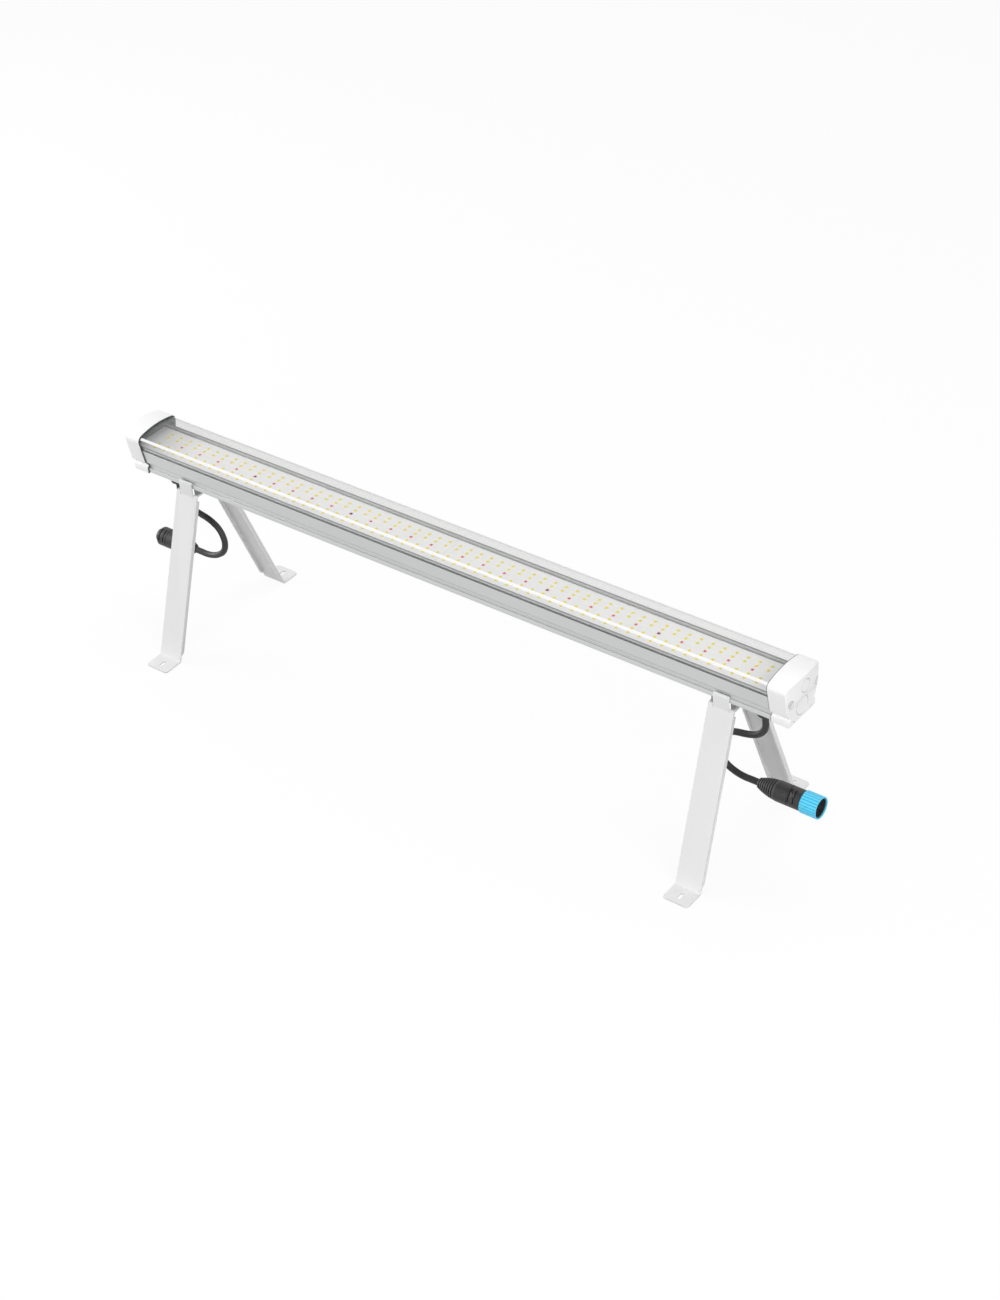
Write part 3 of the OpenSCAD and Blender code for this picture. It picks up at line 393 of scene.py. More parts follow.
# Cords: the same route as in the frame, from the gland's dome down, in and round to the connector
cordSizes = {
    "diameter": 9.4,
    "length": 214,
    "route": [(514, 235), (514, 225), (514, 216), (511, 207), (503, 198), (494, 193), (484, 190), (466, 186),
              (454, 181), (444, 173), (438, 161), (437, 149), (442, 135), (453, 125), (465, 119), (479, 116),
              (491, 116), (503, 116)],
}


def layCord(side, node, name):
    curve = bpy.data.curves.new(name, "CURVE")
    curve.dimensions = "3D"
    curve.bevel_depth = cordSizes["diameter"] / 2 * mm
    curve.bevel_resolution = 6
    curve.resolution_u = 8
    curve.use_fill_caps = True
    spline = curve.splines.new("BEZIER")
    spline.bezier_points.add(len(cordSizes["route"]) - 1)
    for knot, (x, z) in zip(spline.bezier_points, cordSizes["route"]):
        knot.co = (side * x * mm, 0, z * mm)
        knot.handle_left_type = knot.handle_right_type = "AUTO"
    curve.materials.append(cableJacket)
    print(name, "length", round(spline.calc_length() / mm, 1), "mm")
    return setPiece(name, curve, "bar", [node])


leftCord = layCord(-1, "cord_left", "leftCord")
rightCord = layCord(1, "cord_right", "rightCord")


def arc(centre, r, start, end, steps):
    turns = [math.radians(start + (end - start) * i / steps) for i in range(steps + 1)]
    return [(centre[0] + r * math.cos(t), centre[1] + r * math.sin(t)) for t in turns]


def mirrored(points):
    return [(-y, h) for y, h in reversed(points)]


def edgeNormal(a, b):
    length = math.hypot(b[0] - a[0], b[1] - a[1])
    return (b[1] - a[1]) / length, (a[0] - b[0]) / length


def grown(points, g):  # closed outline moved outward, corner by corner
    moved = []
    for i, p in enumerate(points):
        a, b = edgeNormal(points[i - 1], p), edgeNormal(p, points[(i + 1) % len(points)])
        share = g / (1 + a[0] * b[0] + a[1] * b[1])
        moved.append((p[0] + share * (a[0] + b[0]), p[1] + share * (a[1] + b[1])))
    return moved


def softCorners(points, radius, steps=4, limit=20):
    # rounds each corner of a closed outline that turns more than the limit in degrees
    rounded = []
    for i, p in enumerate(points):
        before, after = Vector(points[i - 1]), Vector(points[(i + 1) % len(points)])
        here = Vector(p)
        u, v = (before - here), (after - here)
        reach = min(u.length, v.length) * 0.45  # leaves part of each side straight
        u, v = u.normalized(), v.normalized()
        turn = math.pi - u.angle(v)
        if math.degrees(turn) < limit:
            rounded.append(p)
            continue
        back = min(radius * math.tan(turn / 2), reach)
        r = back / math.tan(turn / 2)
        centre = here + (u + v).normalized() * r / math.cos(turn / 2)
        first, last = here + u * back - centre, here + v * back - centre
        swing = first.angle_signed(last)  # clockwise is positive here
        for k in range(steps + 1):
            a = swing * k / steps
            rounded.append((centre.x + first.x * math.cos(a) + first.y * math.sin(a),
                            centre.y - first.x * math.sin(a) + first.y * math.cos(a)))
    return rounded


barFoot = [(bar["railY"], 0), (bar["railY"], bar["railTop"]), (bar["neckY"], bar["railTop"]),
           (bar["neckY"], bar["neckTop"]), (bar["sideY"], bar["sideFoot"])]


def barOutline(shoulderSteps=16, crownSteps=64):
    right = barFoot + arc(bar["shoulder"], bar["shoulderR"], -bar["lean"], crownAngle, shoulderSteps)
    crown = arc(bar["crown"], bar["crownR"], crownAngle, 180 - crownAngle, crownSteps)
    return right + crown[1:-1] + mirrored(right)


def sideAt(h):  # half width of the tapered side at a height
    return bar["sideY"] + (h - bar["sideFoot"]) * math.tan(math.radians(bar["lean"]))


def rectangle(left, right, low, high):
    return [(left, low), (right, low), (right, high), (left, high)]


def insideLoop(points, loop):  # which of the points lie inside a closed loop
    a = np.array(loop)
    b = np.roll(a, -1, 0)
    y, h = points[:, :1], points[:, 1:2]
    rise = np.where(b[:, 1] == a[:, 1], 1e-12, b[:, 1] - a[:, 1])
    crossing = ((a[:, 1] > h) != (b[:, 1] > h)) & (y < (b[:, 0] - a[:, 0]) * (h - a[:, 1]) / rise + a[:, 0])
    return crossing.sum(1) % 2 == 1


def distanceTo(points, loop):  # from each point to the nearest edge of a closed loop
    a = np.array(loop)
    run = np.roll(a, -1, 0) - a
    away = points[:, None, :] - a[None]
    t = np.clip((away * run).sum(2) / np.maximum((run * run).sum(1), 1e-12), 0, 1)
    return np.sqrt(((away - t[..., None] * run) ** 2).sum(2)).min(1)


def fillRegion(loops, inside, extra=()):
    # triangles of the region that inside() accepts, split along the loops
    points, edges = [], []
    for loop in loops:
        first = len(points)
        points += [Vector(p) for p in loop]
        edges += [(first + i, first + (i + 1) % len(loop)) for i in range(len(loop))]
    points += [Vector(p) for p in extra]
    corners, _, faces, _, _, _ = delaunay_2d_cdt(points, edges, [], 0, 1e-5)
    corners = np.array([tuple(c) for c in corners])
    middles = np.array([corners[list(f)].mean(0) for f in faces])
    keep = inside(middles)
    return corners, [f for f, k in zip(faces, keep) if k]


def extruded(name, loops, inside, start, end, material):
    # a section in Y and height, drawn along X
    corners, faces = fillRegion(loops, inside)
    n = len(corners)
    points = [(x * mm, y * mm, (h + bar["rest"]) * mm) for x in (start, end) for y, h in corners]
    sides = {}
    for f in faces:
        for i in range(3):
            a, b = f[i], f[(i + 1) % 3]
            if (b, a) in sides:
                del sides[(b, a)]
            else:
                sides[(a, b)] = True
    shell = [tuple(reversed(f)) for f in faces] + [tuple(i + n for i in f) for f in faces]
    shell += [(a, b, b + n, a + n) for a, b in sides]
    return mesh(name, points, shell, material)


# Housing: one extrusion with the shelf, the grooves for the lens, the inner lips and the screw ports
housingSizes = {
    "wall": 1.8, "shelfTop": 39.8, "shelf": 2.0, "seam": 40.4, "seamWall": 1.0, "groove": 0.9, "grooveDeep": 2.0,
    "lip": 1.0, "lipTop": 45.8, "portR": 1.6, "portWall": 1.7, "portGap": 0.6, "cornerR": 0.5,
    "glandHole": (514, 10.1), "earthHole": (440, 2), "leadHole": (170, 14, 2.2), "floorCut": (-1, 3),
    "shelfCut": (36, 42),
}
beyond = 60  # half width of a cutting line, past every outline
seamY = sideAt(housingSizes["seam"])
grooveOut = seamY - housingSizes["seamWall"]
grooveIn = grooveOut - housingSizes["groove"]
lipIn = grooveIn - housingSizes["lip"]
port = (grooveIn - housingSizes["portR"] - housingSizes["portWall"] - housingSizes["portGap"],
        housingSizes["shelfTop"] - housingSizes["shelf"] / 2 - housingSizes["portR"])


def housingProfile():
    s = housingSizes
    bottom = s["seam"] - s["grooveDeep"]
    right = barFoot + [(seamY, s["seam"]), (grooveOut, s["seam"]), (grooveOut, bottom), (grooveIn, bottom),
                       (grooveIn, s["lipTop"]), (lipIn, s["lipTop"]), (lipIn, s["shelfTop"])]
    outer = softCorners(right + mirrored(right), s["cornerR"])
    inner = grown(barOutline(2, 2), -s["wall"])
    ceiling = s["shelfTop"] - s["shelf"]
    bosses = [arc((k * port[0], port[1]), s["portR"] + s["portWall"], 0, 345, 23) for k in (-1, 1)]
    bores = [arc((k * port[0], port[1]), s["portR"], 0, 337.5, 15) for k in (-1, 1)]
    under = rectangle(-beyond, beyond, ceiling, 80)

    def solid(p):
        empty = insideLoop(p, inner) & (p[:, 1] < ceiling)
        for boss in bosses:
            empty &= ~insideLoop(p, boss)
        for bore in bores:
            empty |= insideLoop(p, bore)
        return insideLoop(p, outer) & ~empty

    return [outer, inner, under] + bosses + bores, solid


loops, solid = housingProfile()
housingData = extruded("housingProfile", loops, solid, -bar["halfLength"], bar["halfLength"], anodisedAluminium)
# holes through the floor for the glands and the earth screw, and through the shelf for the leads
glandX, glandR = housingSizes["glandHole"]
earthX, earthR = housingSizes["earthHole"]
leadX, leadY, leadR = housingSizes["leadHole"]
holes = [(x, 0, r, *housingSizes["floorCut"]) for x, r in ((-glandX, glandR), (glandX, glandR), (earthX, earthR))]
holes += [(s * leadX, y, leadR, *housingSizes["shelfCut"]) for s in (-1, 1) for y in (-leadY, leadY)]
cutters = bmesh.new()
for x, y, r, low, high in holes:
    addRod(cutters, (x, y, bar["rest"]), r, low, high)
cutterData = bpy.data.meshes.new("housingHoles")
cutters.to_mesh(cutterData)
cutters.free()
cutter = newObject("housingHoles", cutterData)
housingData = modified("housingBlank", housingData, "BOOLEAN", {
    "object": cutter, "operation": "DIFFERENCE", "solver": "EXACT"})
finishMesh(housingData, anodisedAluminium, 30)
bpy.data.objects.remove(cutter)
setPiece("housingExtrusion", housingData, "bar", ["housing"])

# Lens: a clear crowned shell that stands in the grooves
lensSizes = {"thick": 1.6, "foot": 40.8, "tongue": 0.5, "tongueBottom": 39.2, "tongueRoot": 0.5}
# Strips: silicone between the lens and the housing, and on the housing's inner lips, dark so as to stand in for
# the shade and dark reflections at these seams: partly painted shade
stripSizes = {"outerTop": 41.5, "outerDeep": 0.8, "recess": 0.1, "gap": 0.04, "innerTop": 47.0, "reach": 34.2,
              "lift": 0.02, "overhang": 0.1, "chamfer": 0.4, "chamferOut": 0.5, "chamferIn": 0.3, "short": 0.1}


def outerStrip(k, notch=False):  # strip between the lens and the housing, or the notch in the lens round it
    t = stripSizes
    gap = t["gap"] if notch else 0
    low, high = housingSizes["seam"] + t["lift"], t["outerTop"] + gap
    out, deep = -1 if notch else t["recess"], t["outerDeep"] + gap
    loop = [(sideAt(low) - out, low), (sideAt(high) - out, high), (sideAt(high) - deep, high),
            (sideAt(low) - deep, low)]
    return [(k * y, h) for y, h in loop]


def innerStrip(k):  # strip on the housing's inner lip, against the lens
    t = stripSizes
    low, high = housingSizes["lipTop"] + t["lift"], t["innerTop"]
    loop = [(lipIn - t["overhang"], low), (t["reach"], low), (t["reach"], high - t["chamfer"]),
            (t["reach"] - t["chamferOut"], high), (lipIn + t["chamferIn"], high),
            (lipIn - t["overhang"], high - t["chamfer"])]
    return [(k * y, h) for y, h in loop]


def lensProfile():
    s = lensSizes
    outer = barOutline(20, 72)
    inner = grown(outer, -s["thick"])
    tongues = []
    for k in (-1, 1):
        middle = k * (grooveIn + housingSizes["groove"] / 2)
        tongues.append(rectangle(middle - s["tongue"] / 2, middle + s["tongue"] / 2, s["tongueBottom"],
                                 s["foot"] + s["tongueRoot"]))
    foot = rectangle(-beyond, beyond, s["foot"], -20)
    notches = [outerStrip(k, True) for k in (-1, 1)]

    def solid(p):
        shell = insideLoop(p, outer) & ~insideLoop(p, inner) & (p[:, 1] > s["foot"])
        for notch in notches:
            shell &= ~insideLoop(p, notch)
        return shell | insideLoop(p, tongues[0]) | insideLoop(p, tongues[1])

    return [outer, inner, foot] + tongues + notches, solid


loops, solid = lensProfile()
lensData = extruded("lensShell", loops, solid, -bar["halfLength"], bar["halfLength"], lensPlastic)
setPiece("lensShell", lensData, "bar", ["lens_cover"])
strips = [outerStrip(k) for k in (-1, 1)] + [innerStrip(k) for k in (-1, 1)]
paintedHighlightEnd = bar["halfLength"] - stripSizes["short"]
stripData = extruded("lensShadeStrips", strips, lambda p: np.any([insideLoop(p, strip) for strip in strips], axis=0),
                     -paintedHighlightEnd, paintedHighlightEnd, siliconePaintedShade)
setPiece("lensShadeStrips", stripData, "bar", [])
print("housing, lens and strips made")

# End caps: a skirt over the bar, and an end face worked out as a height field with its knock-outs and
# recesses. Rings and grid are where the face gets its points.
capSizes = {
    "rim": 542.2, "end": 569.2, "bulge": 5.7, "proud": 1.8, "bore": 0.7, "floor": 566, "edgeR": 1.6,
    "slopeFoot": 24.8, "slopeRate": 0.43, "grooveW": 0.7, "grooveDeep": 0.6, "upper": (50.3, 9.7),
    "lower": (16.8, 13.75), "recessR": 5.65, "recessFloor": 568.6, "slit": (21.1, 0.7, 3.2), "chamfer": 0.25,
    "cornerR": 1.0, "boreCornerR": 0.4, "rings": (0.12, 0.45, 0.95, 1.6), "grid": 2,
    "grooveHalf": 0.5, "grooveWall": 0.25, "stepWall": 0.5, "recessShade": 0.3,
}


def easeStep(v):  # from 0 to 1 without a kink at either end
    v = np.clip(v, 0, 1)
    return v * v * (3 - 2 * v)


def capFace(p, outline):  # distance along the bar of each point of the end face, and its share of a groove
    s = capSizes
    y, h = p[:, 0], p[:, 1]
    widest = bar["shoulder"][0] + bar["shoulderR"] + s["proud"]
    bulgeR = (widest ** 2 + s["bulge"] ** 2) / (2 * s["bulge"])
    bulge = s["end"] + s["bulge"] - bulgeR + np.sqrt(np.maximum(bulgeR ** 2 - y ** 2, 0))
    slope = s["end"] + np.maximum(h - s["slopeFoot"], 0) * s["slopeRate"]
    # the lower of the two, with a soft seam 2 mm wide
    share = np.clip(0.5 + 0.5 * (slope - bulge), 0, 1)
    x = slope * (1 - share) + bulge * share - share * (1 - share)
    x = np.maximum(x, s["end"])

    # share of painted shade at each point, from the grooves and the recess walls
    shadeShare = np.zeros(len(p))

    def groove(distance, where=True):  # depth of a groove at a distance from its middle line
        share = easeStep((s["grooveHalf"] - np.abs(distance)) / s["grooveWall"]) * where
        np.maximum(shadeShare, share, out=shadeShare)
        return s["grooveDeep"] * share

    lower = np.hypot(y, h - s["lower"][0])
    x = x + (s["end"] - x) * easeStep((s["lower"][1] + 0.2 - lower) / s["stepWall"])
    x = x - groove(lower - s["lower"][1] + s["grooveW"] / 2)
    x = x - groove(np.hypot(y, h - s["upper"][0]) - s["upper"][1] + s["grooveW"] / 2)
    for k in (-1, 1):
        slit = np.hypot(y - k * s["slit"][0], h - s["slit"][1])
        x = x - groove(slit - s["slit"][2] + s["grooveW"] / 2, k * y < s["slit"][0] + 0.2)
        recess = np.hypot(y - k * port[0], h - port[1])
        x = x + (s["recessFloor"] - x) * easeStep((s["recessR"] + s["stepWall"] / 2 - recess) / s["stepWall"])
        # painted shade: the recess's wall is darkened a little, like a shallow groove
        shade = s["recessShade"] * easeStep((0.7 - np.abs(recess - s["recessR"] + 0.3)) / 0.5)
        np.maximum(shadeShare, shade, out=shadeShare)
    inset = np.minimum(distanceTo(p, outline), s["edgeR"])
    return x - s["edgeR"] + np.sqrt(s["edgeR"] ** 2 - (s["edgeR"] - inset) ** 2), shadeShare


def endCap(side):
    s = capSizes
    sharp = barOutline()
    outline = softCorners(grown(sharp, s["proud"]), s["cornerR"])
    bore = softCorners(grown(sharp, s["bore"]), s["boreCornerR"])
    rings = [softCorners(grown(sharp, s["proud"] - d), max(s["cornerR"] - d, 0.3)) for d in s["rings"]]
    half = s["grooveW"] / 2
    circles = [(0, s["upper"][0], s["upper"][1] - half + d, 96) for d in (-0.5, -0.25, 0.25, 0.5)]
    circles += [(0, s["lower"][0], s["lower"][1] - half + d, 120) for d in (-0.5, -0.25, 0.25, 0.55, -1.2)]
    circles += [(k * port[0], port[1], s["recessR"] + d, 64) for k in (-1, 1) for d in (0.25, 0.1, -0.1, -0.25)]
    circleLoops = [arc((y, h), r, 0, 360 - 360 / n, n - 1) for y, h, r, n in circles]
    extra = [p for k in (-1, 1) for d in (-0.5, -0.25, 0, 0.25, 0.5)
             for p in arc((k * s["slit"][0], s["slit"][1]), s["slit"][2] - half + d, 0, 350, 35)]
    extra += [(y, h) for y in np.arange(-38, 38.1, s["grid"]) for h in np.arange(1, 67, s["grid"])]
    inner = np.array(extra)
    keep = insideLoop(inner, rings[-1]) & (distanceTo(inner, rings[-1]) > 0.3)
    extra = [p for p, k in zip(extra, keep) if k]
    corners, faces = fillRegion([outline] + rings + circleLoops, lambda p: insideLoop(p, outline), extra)
    heights, shadeShares = capFace(corners, outline)
    points = [(x, y, h) for (y, h), x in zip(corners, heights)]
    shell = list(faces)
    lookup = {(round(y, 4), round(h, 4)): i for i, (y, h) in enumerate(corners)}
    rimLoop = [lookup[(round(y, 4), round(h, 4))] for y, h in outline]
    m = len(outline)
    first = len(points)
    points += [(s["rim"] + s["chamfer"], y, h) for y, h in outline]
    shell += [(rimLoop[i], rimLoop[(i + 1) % m], first + (i + 1) % m, first + i) for i in range(m)]
    # the rim's narrow face, with a small chamfer outside it, and the empty pocket behind
    lip = softCorners(grown(sharp, s["proud"] - s["chamfer"]), 0.8)
    rimCorners, rimFaces = fillRegion(
        [outline, lip, bore], lambda p: insideLoop(p, outline) & ~insideLoop(p, bore))
    start = len(points)
    edge = distanceTo(rimCorners, outline)
    points += [(s["rim"] + s["chamfer"] - min(e, s["chamfer"]), y, h) for (y, h), e in zip(rimCorners, edge)]
    shell += [tuple(i + start for i in f) for f in rimFaces]
    b = len(bore)
    start = len(points)
    points += [(s["rim"], y, h) for y, h in bore] + [(s["floor"], y, h) for y, h in bore]
    shell += [(start + i, start + (i + 1) % b, start + b + (i + 1) % b, start + b + i) for i in range(b)]
    floorCorners, floorFaces = fillRegion([bore], lambda p: insideLoop(p, bore))
    start = len(points)
    points += [(s["floor"], y, h) for y, h in floorCorners]
    shell += [tuple(i + start for i in f) for f in floorFaces]
    places = [(side * x * mm, y * mm, (h + bar["rest"]) * mm) for x, y, h in points]
    data = mesh("endCap", places, shell, mouldedCapAbs, 40)
    # painted shade of the grooves and recess walls, looked up by place because the mesh has merged its doubles
    shadeByPlace = {(round(y, 2), round(h, 2), round(x, 2)): c for (y, h), x, c in zip(corners, heights, shadeShares)}
    markGrooves(data, lambda x, y, z: shadeByPlace.get(
        (round(y, 2), round(z - bar["rest"], 2), round(side * x, 2)), 0))
    return data


for side, word in ((-1, "left"), (1, "right")):
    setPiece(word + "EndCap", endCap(side), "bar", ["end_cap_" + word])
print("end caps made")

# LEDs: package and window instanced on each place, one tree for every kind
ledSizes = {"package": (3.8, 3.7, 0.5), "window": (3.6, 3.5, 0.65), "top": 299.35, "tilt": 0.6, "seed": 7,
            "pitch": 18, "row": 9.36, "columns": 30, "redFirst": (2, 1), "deep": (4, 9)}


def geometryTree(name, inputs):  # an empty tree with its sockets, and the outputs that carry what it is given
    tree = bpy.data.node_groups.new(name, "GeometryNodeTree")
    for label, kind in inputs.items():
        tree.interface.new_socket(label, in_out="INPUT", socket_type="NodeSocket" + kind)
    tree.interface.new_socket("Geometry", in_out="OUTPUT", socket_type="NodeSocketGeometry")
    return tree, tree.nodes.new("NodeGroupInput").outputs


def runTree(name, data, tree, values):  # what a geometry tree makes of a mesh
    given = {item.identifier: values[item.name] for item in tree.interface.items_tree
             if item.in_out == "INPUT" and item.name in values}
    return modified(name, data, "NODES", {"node_group": tree}, given)


def ledTree():
    tree, given = geometryTree("ledField", {
        "Geometry": "Geometry", "Package size": "Vector", "Window size": "Vector", "Tilt": "Float", "Seed": "Int",
        "Package finish": "Material", "Window finish": "Material"})
    led = tree.nodes.new("GeometryNodeJoinGeometry")
    for label in ("Package size", "Window size"):
        block = addNode(tree, "GeometryNodeMeshCube", {}, {"Size": given[label]})
        half = addNode(tree, "ShaderNodeVectorMath", {"operation": "MULTIPLY", 1: (0, 0, 0.5)}, {0: given[label]})
        lifted = addNode(tree, "GeometryNodeTransform", {}, {"Geometry": block, "Translation": half})
        marked = addNode(tree, "GeometryNodeStoreNamedAttribute", {
            "data_type": "BOOLEAN", "domain": "FACE", "Name": "window", "Value": label == "Window size"},
            {"Geometry": lifted})
        connect(tree, led, {0: marked})
    low = addNode(tree, "ShaderNodeMath", {"operation": "MULTIPLY", 1: -1.0}, {0: given["Tilt"]})
    turn = addNode(tree, "FunctionNodeRandomValue", {"data_type": "FLOAT"}, {
        2: low, 3: given["Tilt"], "Seed": given["Seed"]})
    spin = addNode(tree, "ShaderNodeCombineXYZ", {}, {"Z": turn.outputs[1]})
    placed = addNode(tree, "GeometryNodeInstanceOnPoints", {}, {
        "Points": given["Geometry"], "Instance": led, "Rotation": spin})
    real = addNode(tree, "GeometryNodeRealizeInstances", {}, {"Geometry": placed})
    body = addNode(tree, "GeometryNodeSetMaterial", {}, {"Geometry": real, "Material": given["Package finish"]})
    chosen = addNode(tree, "GeometryNodeInputNamedAttribute", {"data_type": "BOOLEAN", "Name": "window"})
    top = addNode(tree, "GeometryNodeSetMaterial", {}, {
        "Geometry": body, "Material": given["Window finish"], "Selection": chosen})
    addNode(tree, "NodeGroupOutput", {}, {0: top})
    return tree


ledFieldTree = ledTree()
s = ledSizes
whitePlaces = {side: [(side * s["pitch"] * (i + 0.5), row * s["row"]) for i in range(s["columns"])
                      for row in (-2, -1, 1, 2)] for side in (-1, 1)}
redPlaces, deepPlaces = [], []
for half, first in enumerate(s["redFirst"]):
    for k, column in enumerate(range(first, s["columns"], 2)):
        x = s["pitch"] * (column + 0.5 - (s["columns"] if half == 0 else 0))
        (deepPlaces if k in s["deep"] else redPlaces).append((x, 0))
ledFields = [("leftWhiteLeds", whitePlaces[-1], ledPackage, phosphor, "white_leds_left", "led_phosphor"),
             ("rightWhiteLeds", whitePlaces[1], ledPackage, phosphor, "white_leds_right", "led_phosphor"),
             ("redLeds", redPlaces, redPackage, redWindow, "red_leds", "led_red"),
             ("deepRedLeds", deepPlaces, deepRedPackage, deepRedWindow, "deep_red_leds", "led_deep_red")]
for name, places, package, window, node, slot in ledFields:
    seeds = bpy.data.meshes.new(name + "Places")
    seeds.from_pydata([(x * mm, y * mm, s["top"] * mm) for x, y in places], [], [])
    data = runTree(name, seeds, ledFieldTree, {
        "Package size": [v * mm for v in s["package"]], "Window size": [v * mm for v in s["window"]],
        "Tilt": math.radians(s["tilt"]), "Seed": s["seed"], "Package finish": package, "Window finish": window})
    setPiece(name, data, "bar", [node])
print("LEDs placed")

# Boots: turned shapes with rounded ribs between narrow grooves, which get painted shade. Shade is how far below
# the ribs a groove's painted shade starts.
bootSizes = {"start": 503, "length": 30, "height": 116, "cordR": 4.7, "startR": 7.0, "endR": 14.0, "ribs": 8,
             "groove": 1.5, "deep": 1.6, "firstDeep": 1.2, "grip": 0.4, "round": 0.35, "shade": 0.6, "around": 72}


def turned(name, profile, side, material):
    # a closed profile of distances along the bar and radii, turned about an axis along the bar
    s = bootSizes
    points, faces = [], []
    n = len(profile)
    for k in range(s["around"]):
        t = 2 * math.pi * k / s["around"]
        points += [(side * x * mm, r * math.sin(t) * mm, (s["height"] + r * math.cos(t)) * mm) for x, r in profile]
        nxt = (k + 1) % s["around"]
        faces += [(k * n + i, k * n + (i + 1) % n, nxt * n + (i + 1) % n, nxt * n + i) for i in range(n)]
    return mesh(name, points, faces, material)


def bootRadius(x):  # outside of the ribs at a distance from the thin end
    s = bootSizes
    return s["startR"] + (s["endR"] - s["startR"]) * (1 - max(1 - x / s["length"], 0) ** 1.8)


def bootProfile():
    s = bootSizes
    c = s["round"]
    pitch = s["length"] / s["ribs"]
    top = []
    for k in range(s["ribs"]):
        start, stop = k * pitch, (k + 1) * pitch - (s["groove"] if k < s["ribs"] - 1 else 0)
        a, b = bootRadius(start), bootRadius(stop)
        top += [(start, a - (s["deep"] if k else s["firstDeep"])), (start, a - c),
                (start + c * 0.3, a - c * 0.3), (start + c, a), ((start + stop) / 2, (a + b) / 2 + 0.1),
                (stop - c, b), (stop - c * 0.3, b - c * 0.3), (stop, b - c), (stop, b - s["deep"])]
    bore = s["cordR"] - s["grip"]
    return [(s["start"] + x, r) for x, r in top + [(s["length"], bore), (0, bore)]]


# 1 where a vertex lies in a groove, which gets painted shade
def bootGroove(x, y, z):
    s = bootSizes
    return float(math.hypot(y, z - s["height"]) < bootRadius(abs(x) - s["start"]) - s["shade"])


for side, word in ((-1, "plug"), (1, "socket")):
    data = turned(word + "Boot", bootProfile(), side, overmouldedTpe)
    markGrooves(data, bootGroove)
    setPiece(word + "Boot", data, "bar", [word + "_boot"])

# Grips of the locking ring: broad flat ribs round it, with narrow gaps between them
gripSizes = {"start": 572.3, "length": 25.4, "radius": 15.4, "height": 116, "ridge": (24.8, 3.0, 0.6), "count": 24}


def gripTree():
    tree, given = geometryTree("ringGrips", {
        "Geometry": "Geometry", "Count": "Int", "Radius": "Float", "Ridge": "Vector", "Middle": "Vector",
        "Finish": "Material"})
    ring = addNode(tree, "GeometryNodeMeshCircle", {}, {"Vertices": given["Count"], "Radius": given["Radius"]})
    upright = addNode(tree, "GeometryNodeTransform", {"Rotation": (0, math.pi / 2, 0)}, {
        "Geometry": ring, "Translation": given["Middle"]})
    place = addNode(tree, "GeometryNodeInputPosition")
    out = addNode(tree, "ShaderNodeVectorMath", {"operation": "SUBTRACT"}, {0: place, 1: given["Middle"]})
    turn = addNode(tree, "FunctionNodeAlignRotationToVector", {"axis": "Z"}, {"Vector": out})
    block = addNode(tree, "GeometryNodeMeshCube", {}, {"Size": given["Ridge"]})
    placed = addNode(tree, "GeometryNodeInstanceOnPoints", {}, {
        "Points": upright, "Instance": block, "Rotation": turn})
    real = addNode(tree, "GeometryNodeRealizeInstances", {}, {"Geometry": placed})
    done = addNode(tree, "GeometryNodeSetMaterial", {}, {"Geometry": real, "Material": given["Finish"]})
    addNode(tree, "NodeGroupOutput", {}, {0: done})
    return tree


s = gripSizes
gripSeed = bpy.data.meshes.new("gripSeed")
grips = runTree("ringGrips", gripSeed, gripTree(), {
    "Count": s["count"], "Radius": s["radius"] * mm, "Ridge": [v * mm for v in s["ridge"]],
    "Middle": ((s["start"] + s["length"] / 2) * mm, 0, s["height"] * mm), "Finish": cyanAbs})
setPiece("ringGrips", grips, "locking_ring", [])

# Rest pads: moulded saddles between the web and the rail, with arms beside the clip tabs and a stud through
# the web. The arms, in dark grey silicone, stand in for the shade under the rail beside the tabs: partly painted
# shade.
padSizes = {"x": 466.7, "web": 248, "top": 257.4, "half": 17, "middle": 9, "reach": 27.6, "arm": 12.9, "edge": 0.4,
            "stud": 2.4, "button": 3.7, "buttonDeep": 1.4, "sheet": 2}


def restPad(side):
    s = padSizes
    outline = [(s["half"], s["reach"]), (s["arm"], s["reach"]), (s["arm"], s["middle"])]
    outline += [(-x, y) for x, y in reversed(outline)]
    outline += [(-x, -y) for x, y in outline]
    corners, faces = fillRegion([outline], lambda p: insideLoop(p, outline))
    build = bmesh.new()
    plan = [build.verts.new(((side * s["x"] + x) * mm, y * mm, s["web"] * mm)) for x, y in corners]
    for face in faces:
        build.faces.new([plan[i] for i in face])
    bmesh.ops.dissolve_limit(build, angle_limit=0.01, verts=build.verts, edges=build.edges)
    rim = [e for e in build.edges if e.is_boundary]
    lift = Vector((0, 0, (s["top"] - s["web"]) * mm))
    raised = {v: build.verts.new(v.co + lift) for v in build.verts[:]}
    for face in build.faces[:]:
        build.faces.new([raised[v] for v in face.verts])
    for a, b in [e.verts for e in rim]:
        build.faces.new((a, b, raised[b], raised[a]))
    middle = (side * s["x"], 0, s["web"])
    addRod(build, middle, s["stud"], -s["sheet"] - 0.5, 1)
    addRod(build, middle, s["button"], -s["sheet"] - s["buttonDeep"], -s["sheet"])
    bmesh.ops.recalc_face_normals(build, faces=build.faces)
    data = bpy.data.meshes.new("restPad")
    build.to_mesh(data)
    build.free()
    data = roundedEdges("restPad", data, s["edge"])
    finishMesh(data, siliconePaintedShade, 30)
    return data


for side, word in ((-1, "left"), (1, "right")):
    setPiece(word + "RestPad", restPad(side), "stand_" + word, ["rest_pad_" + word])

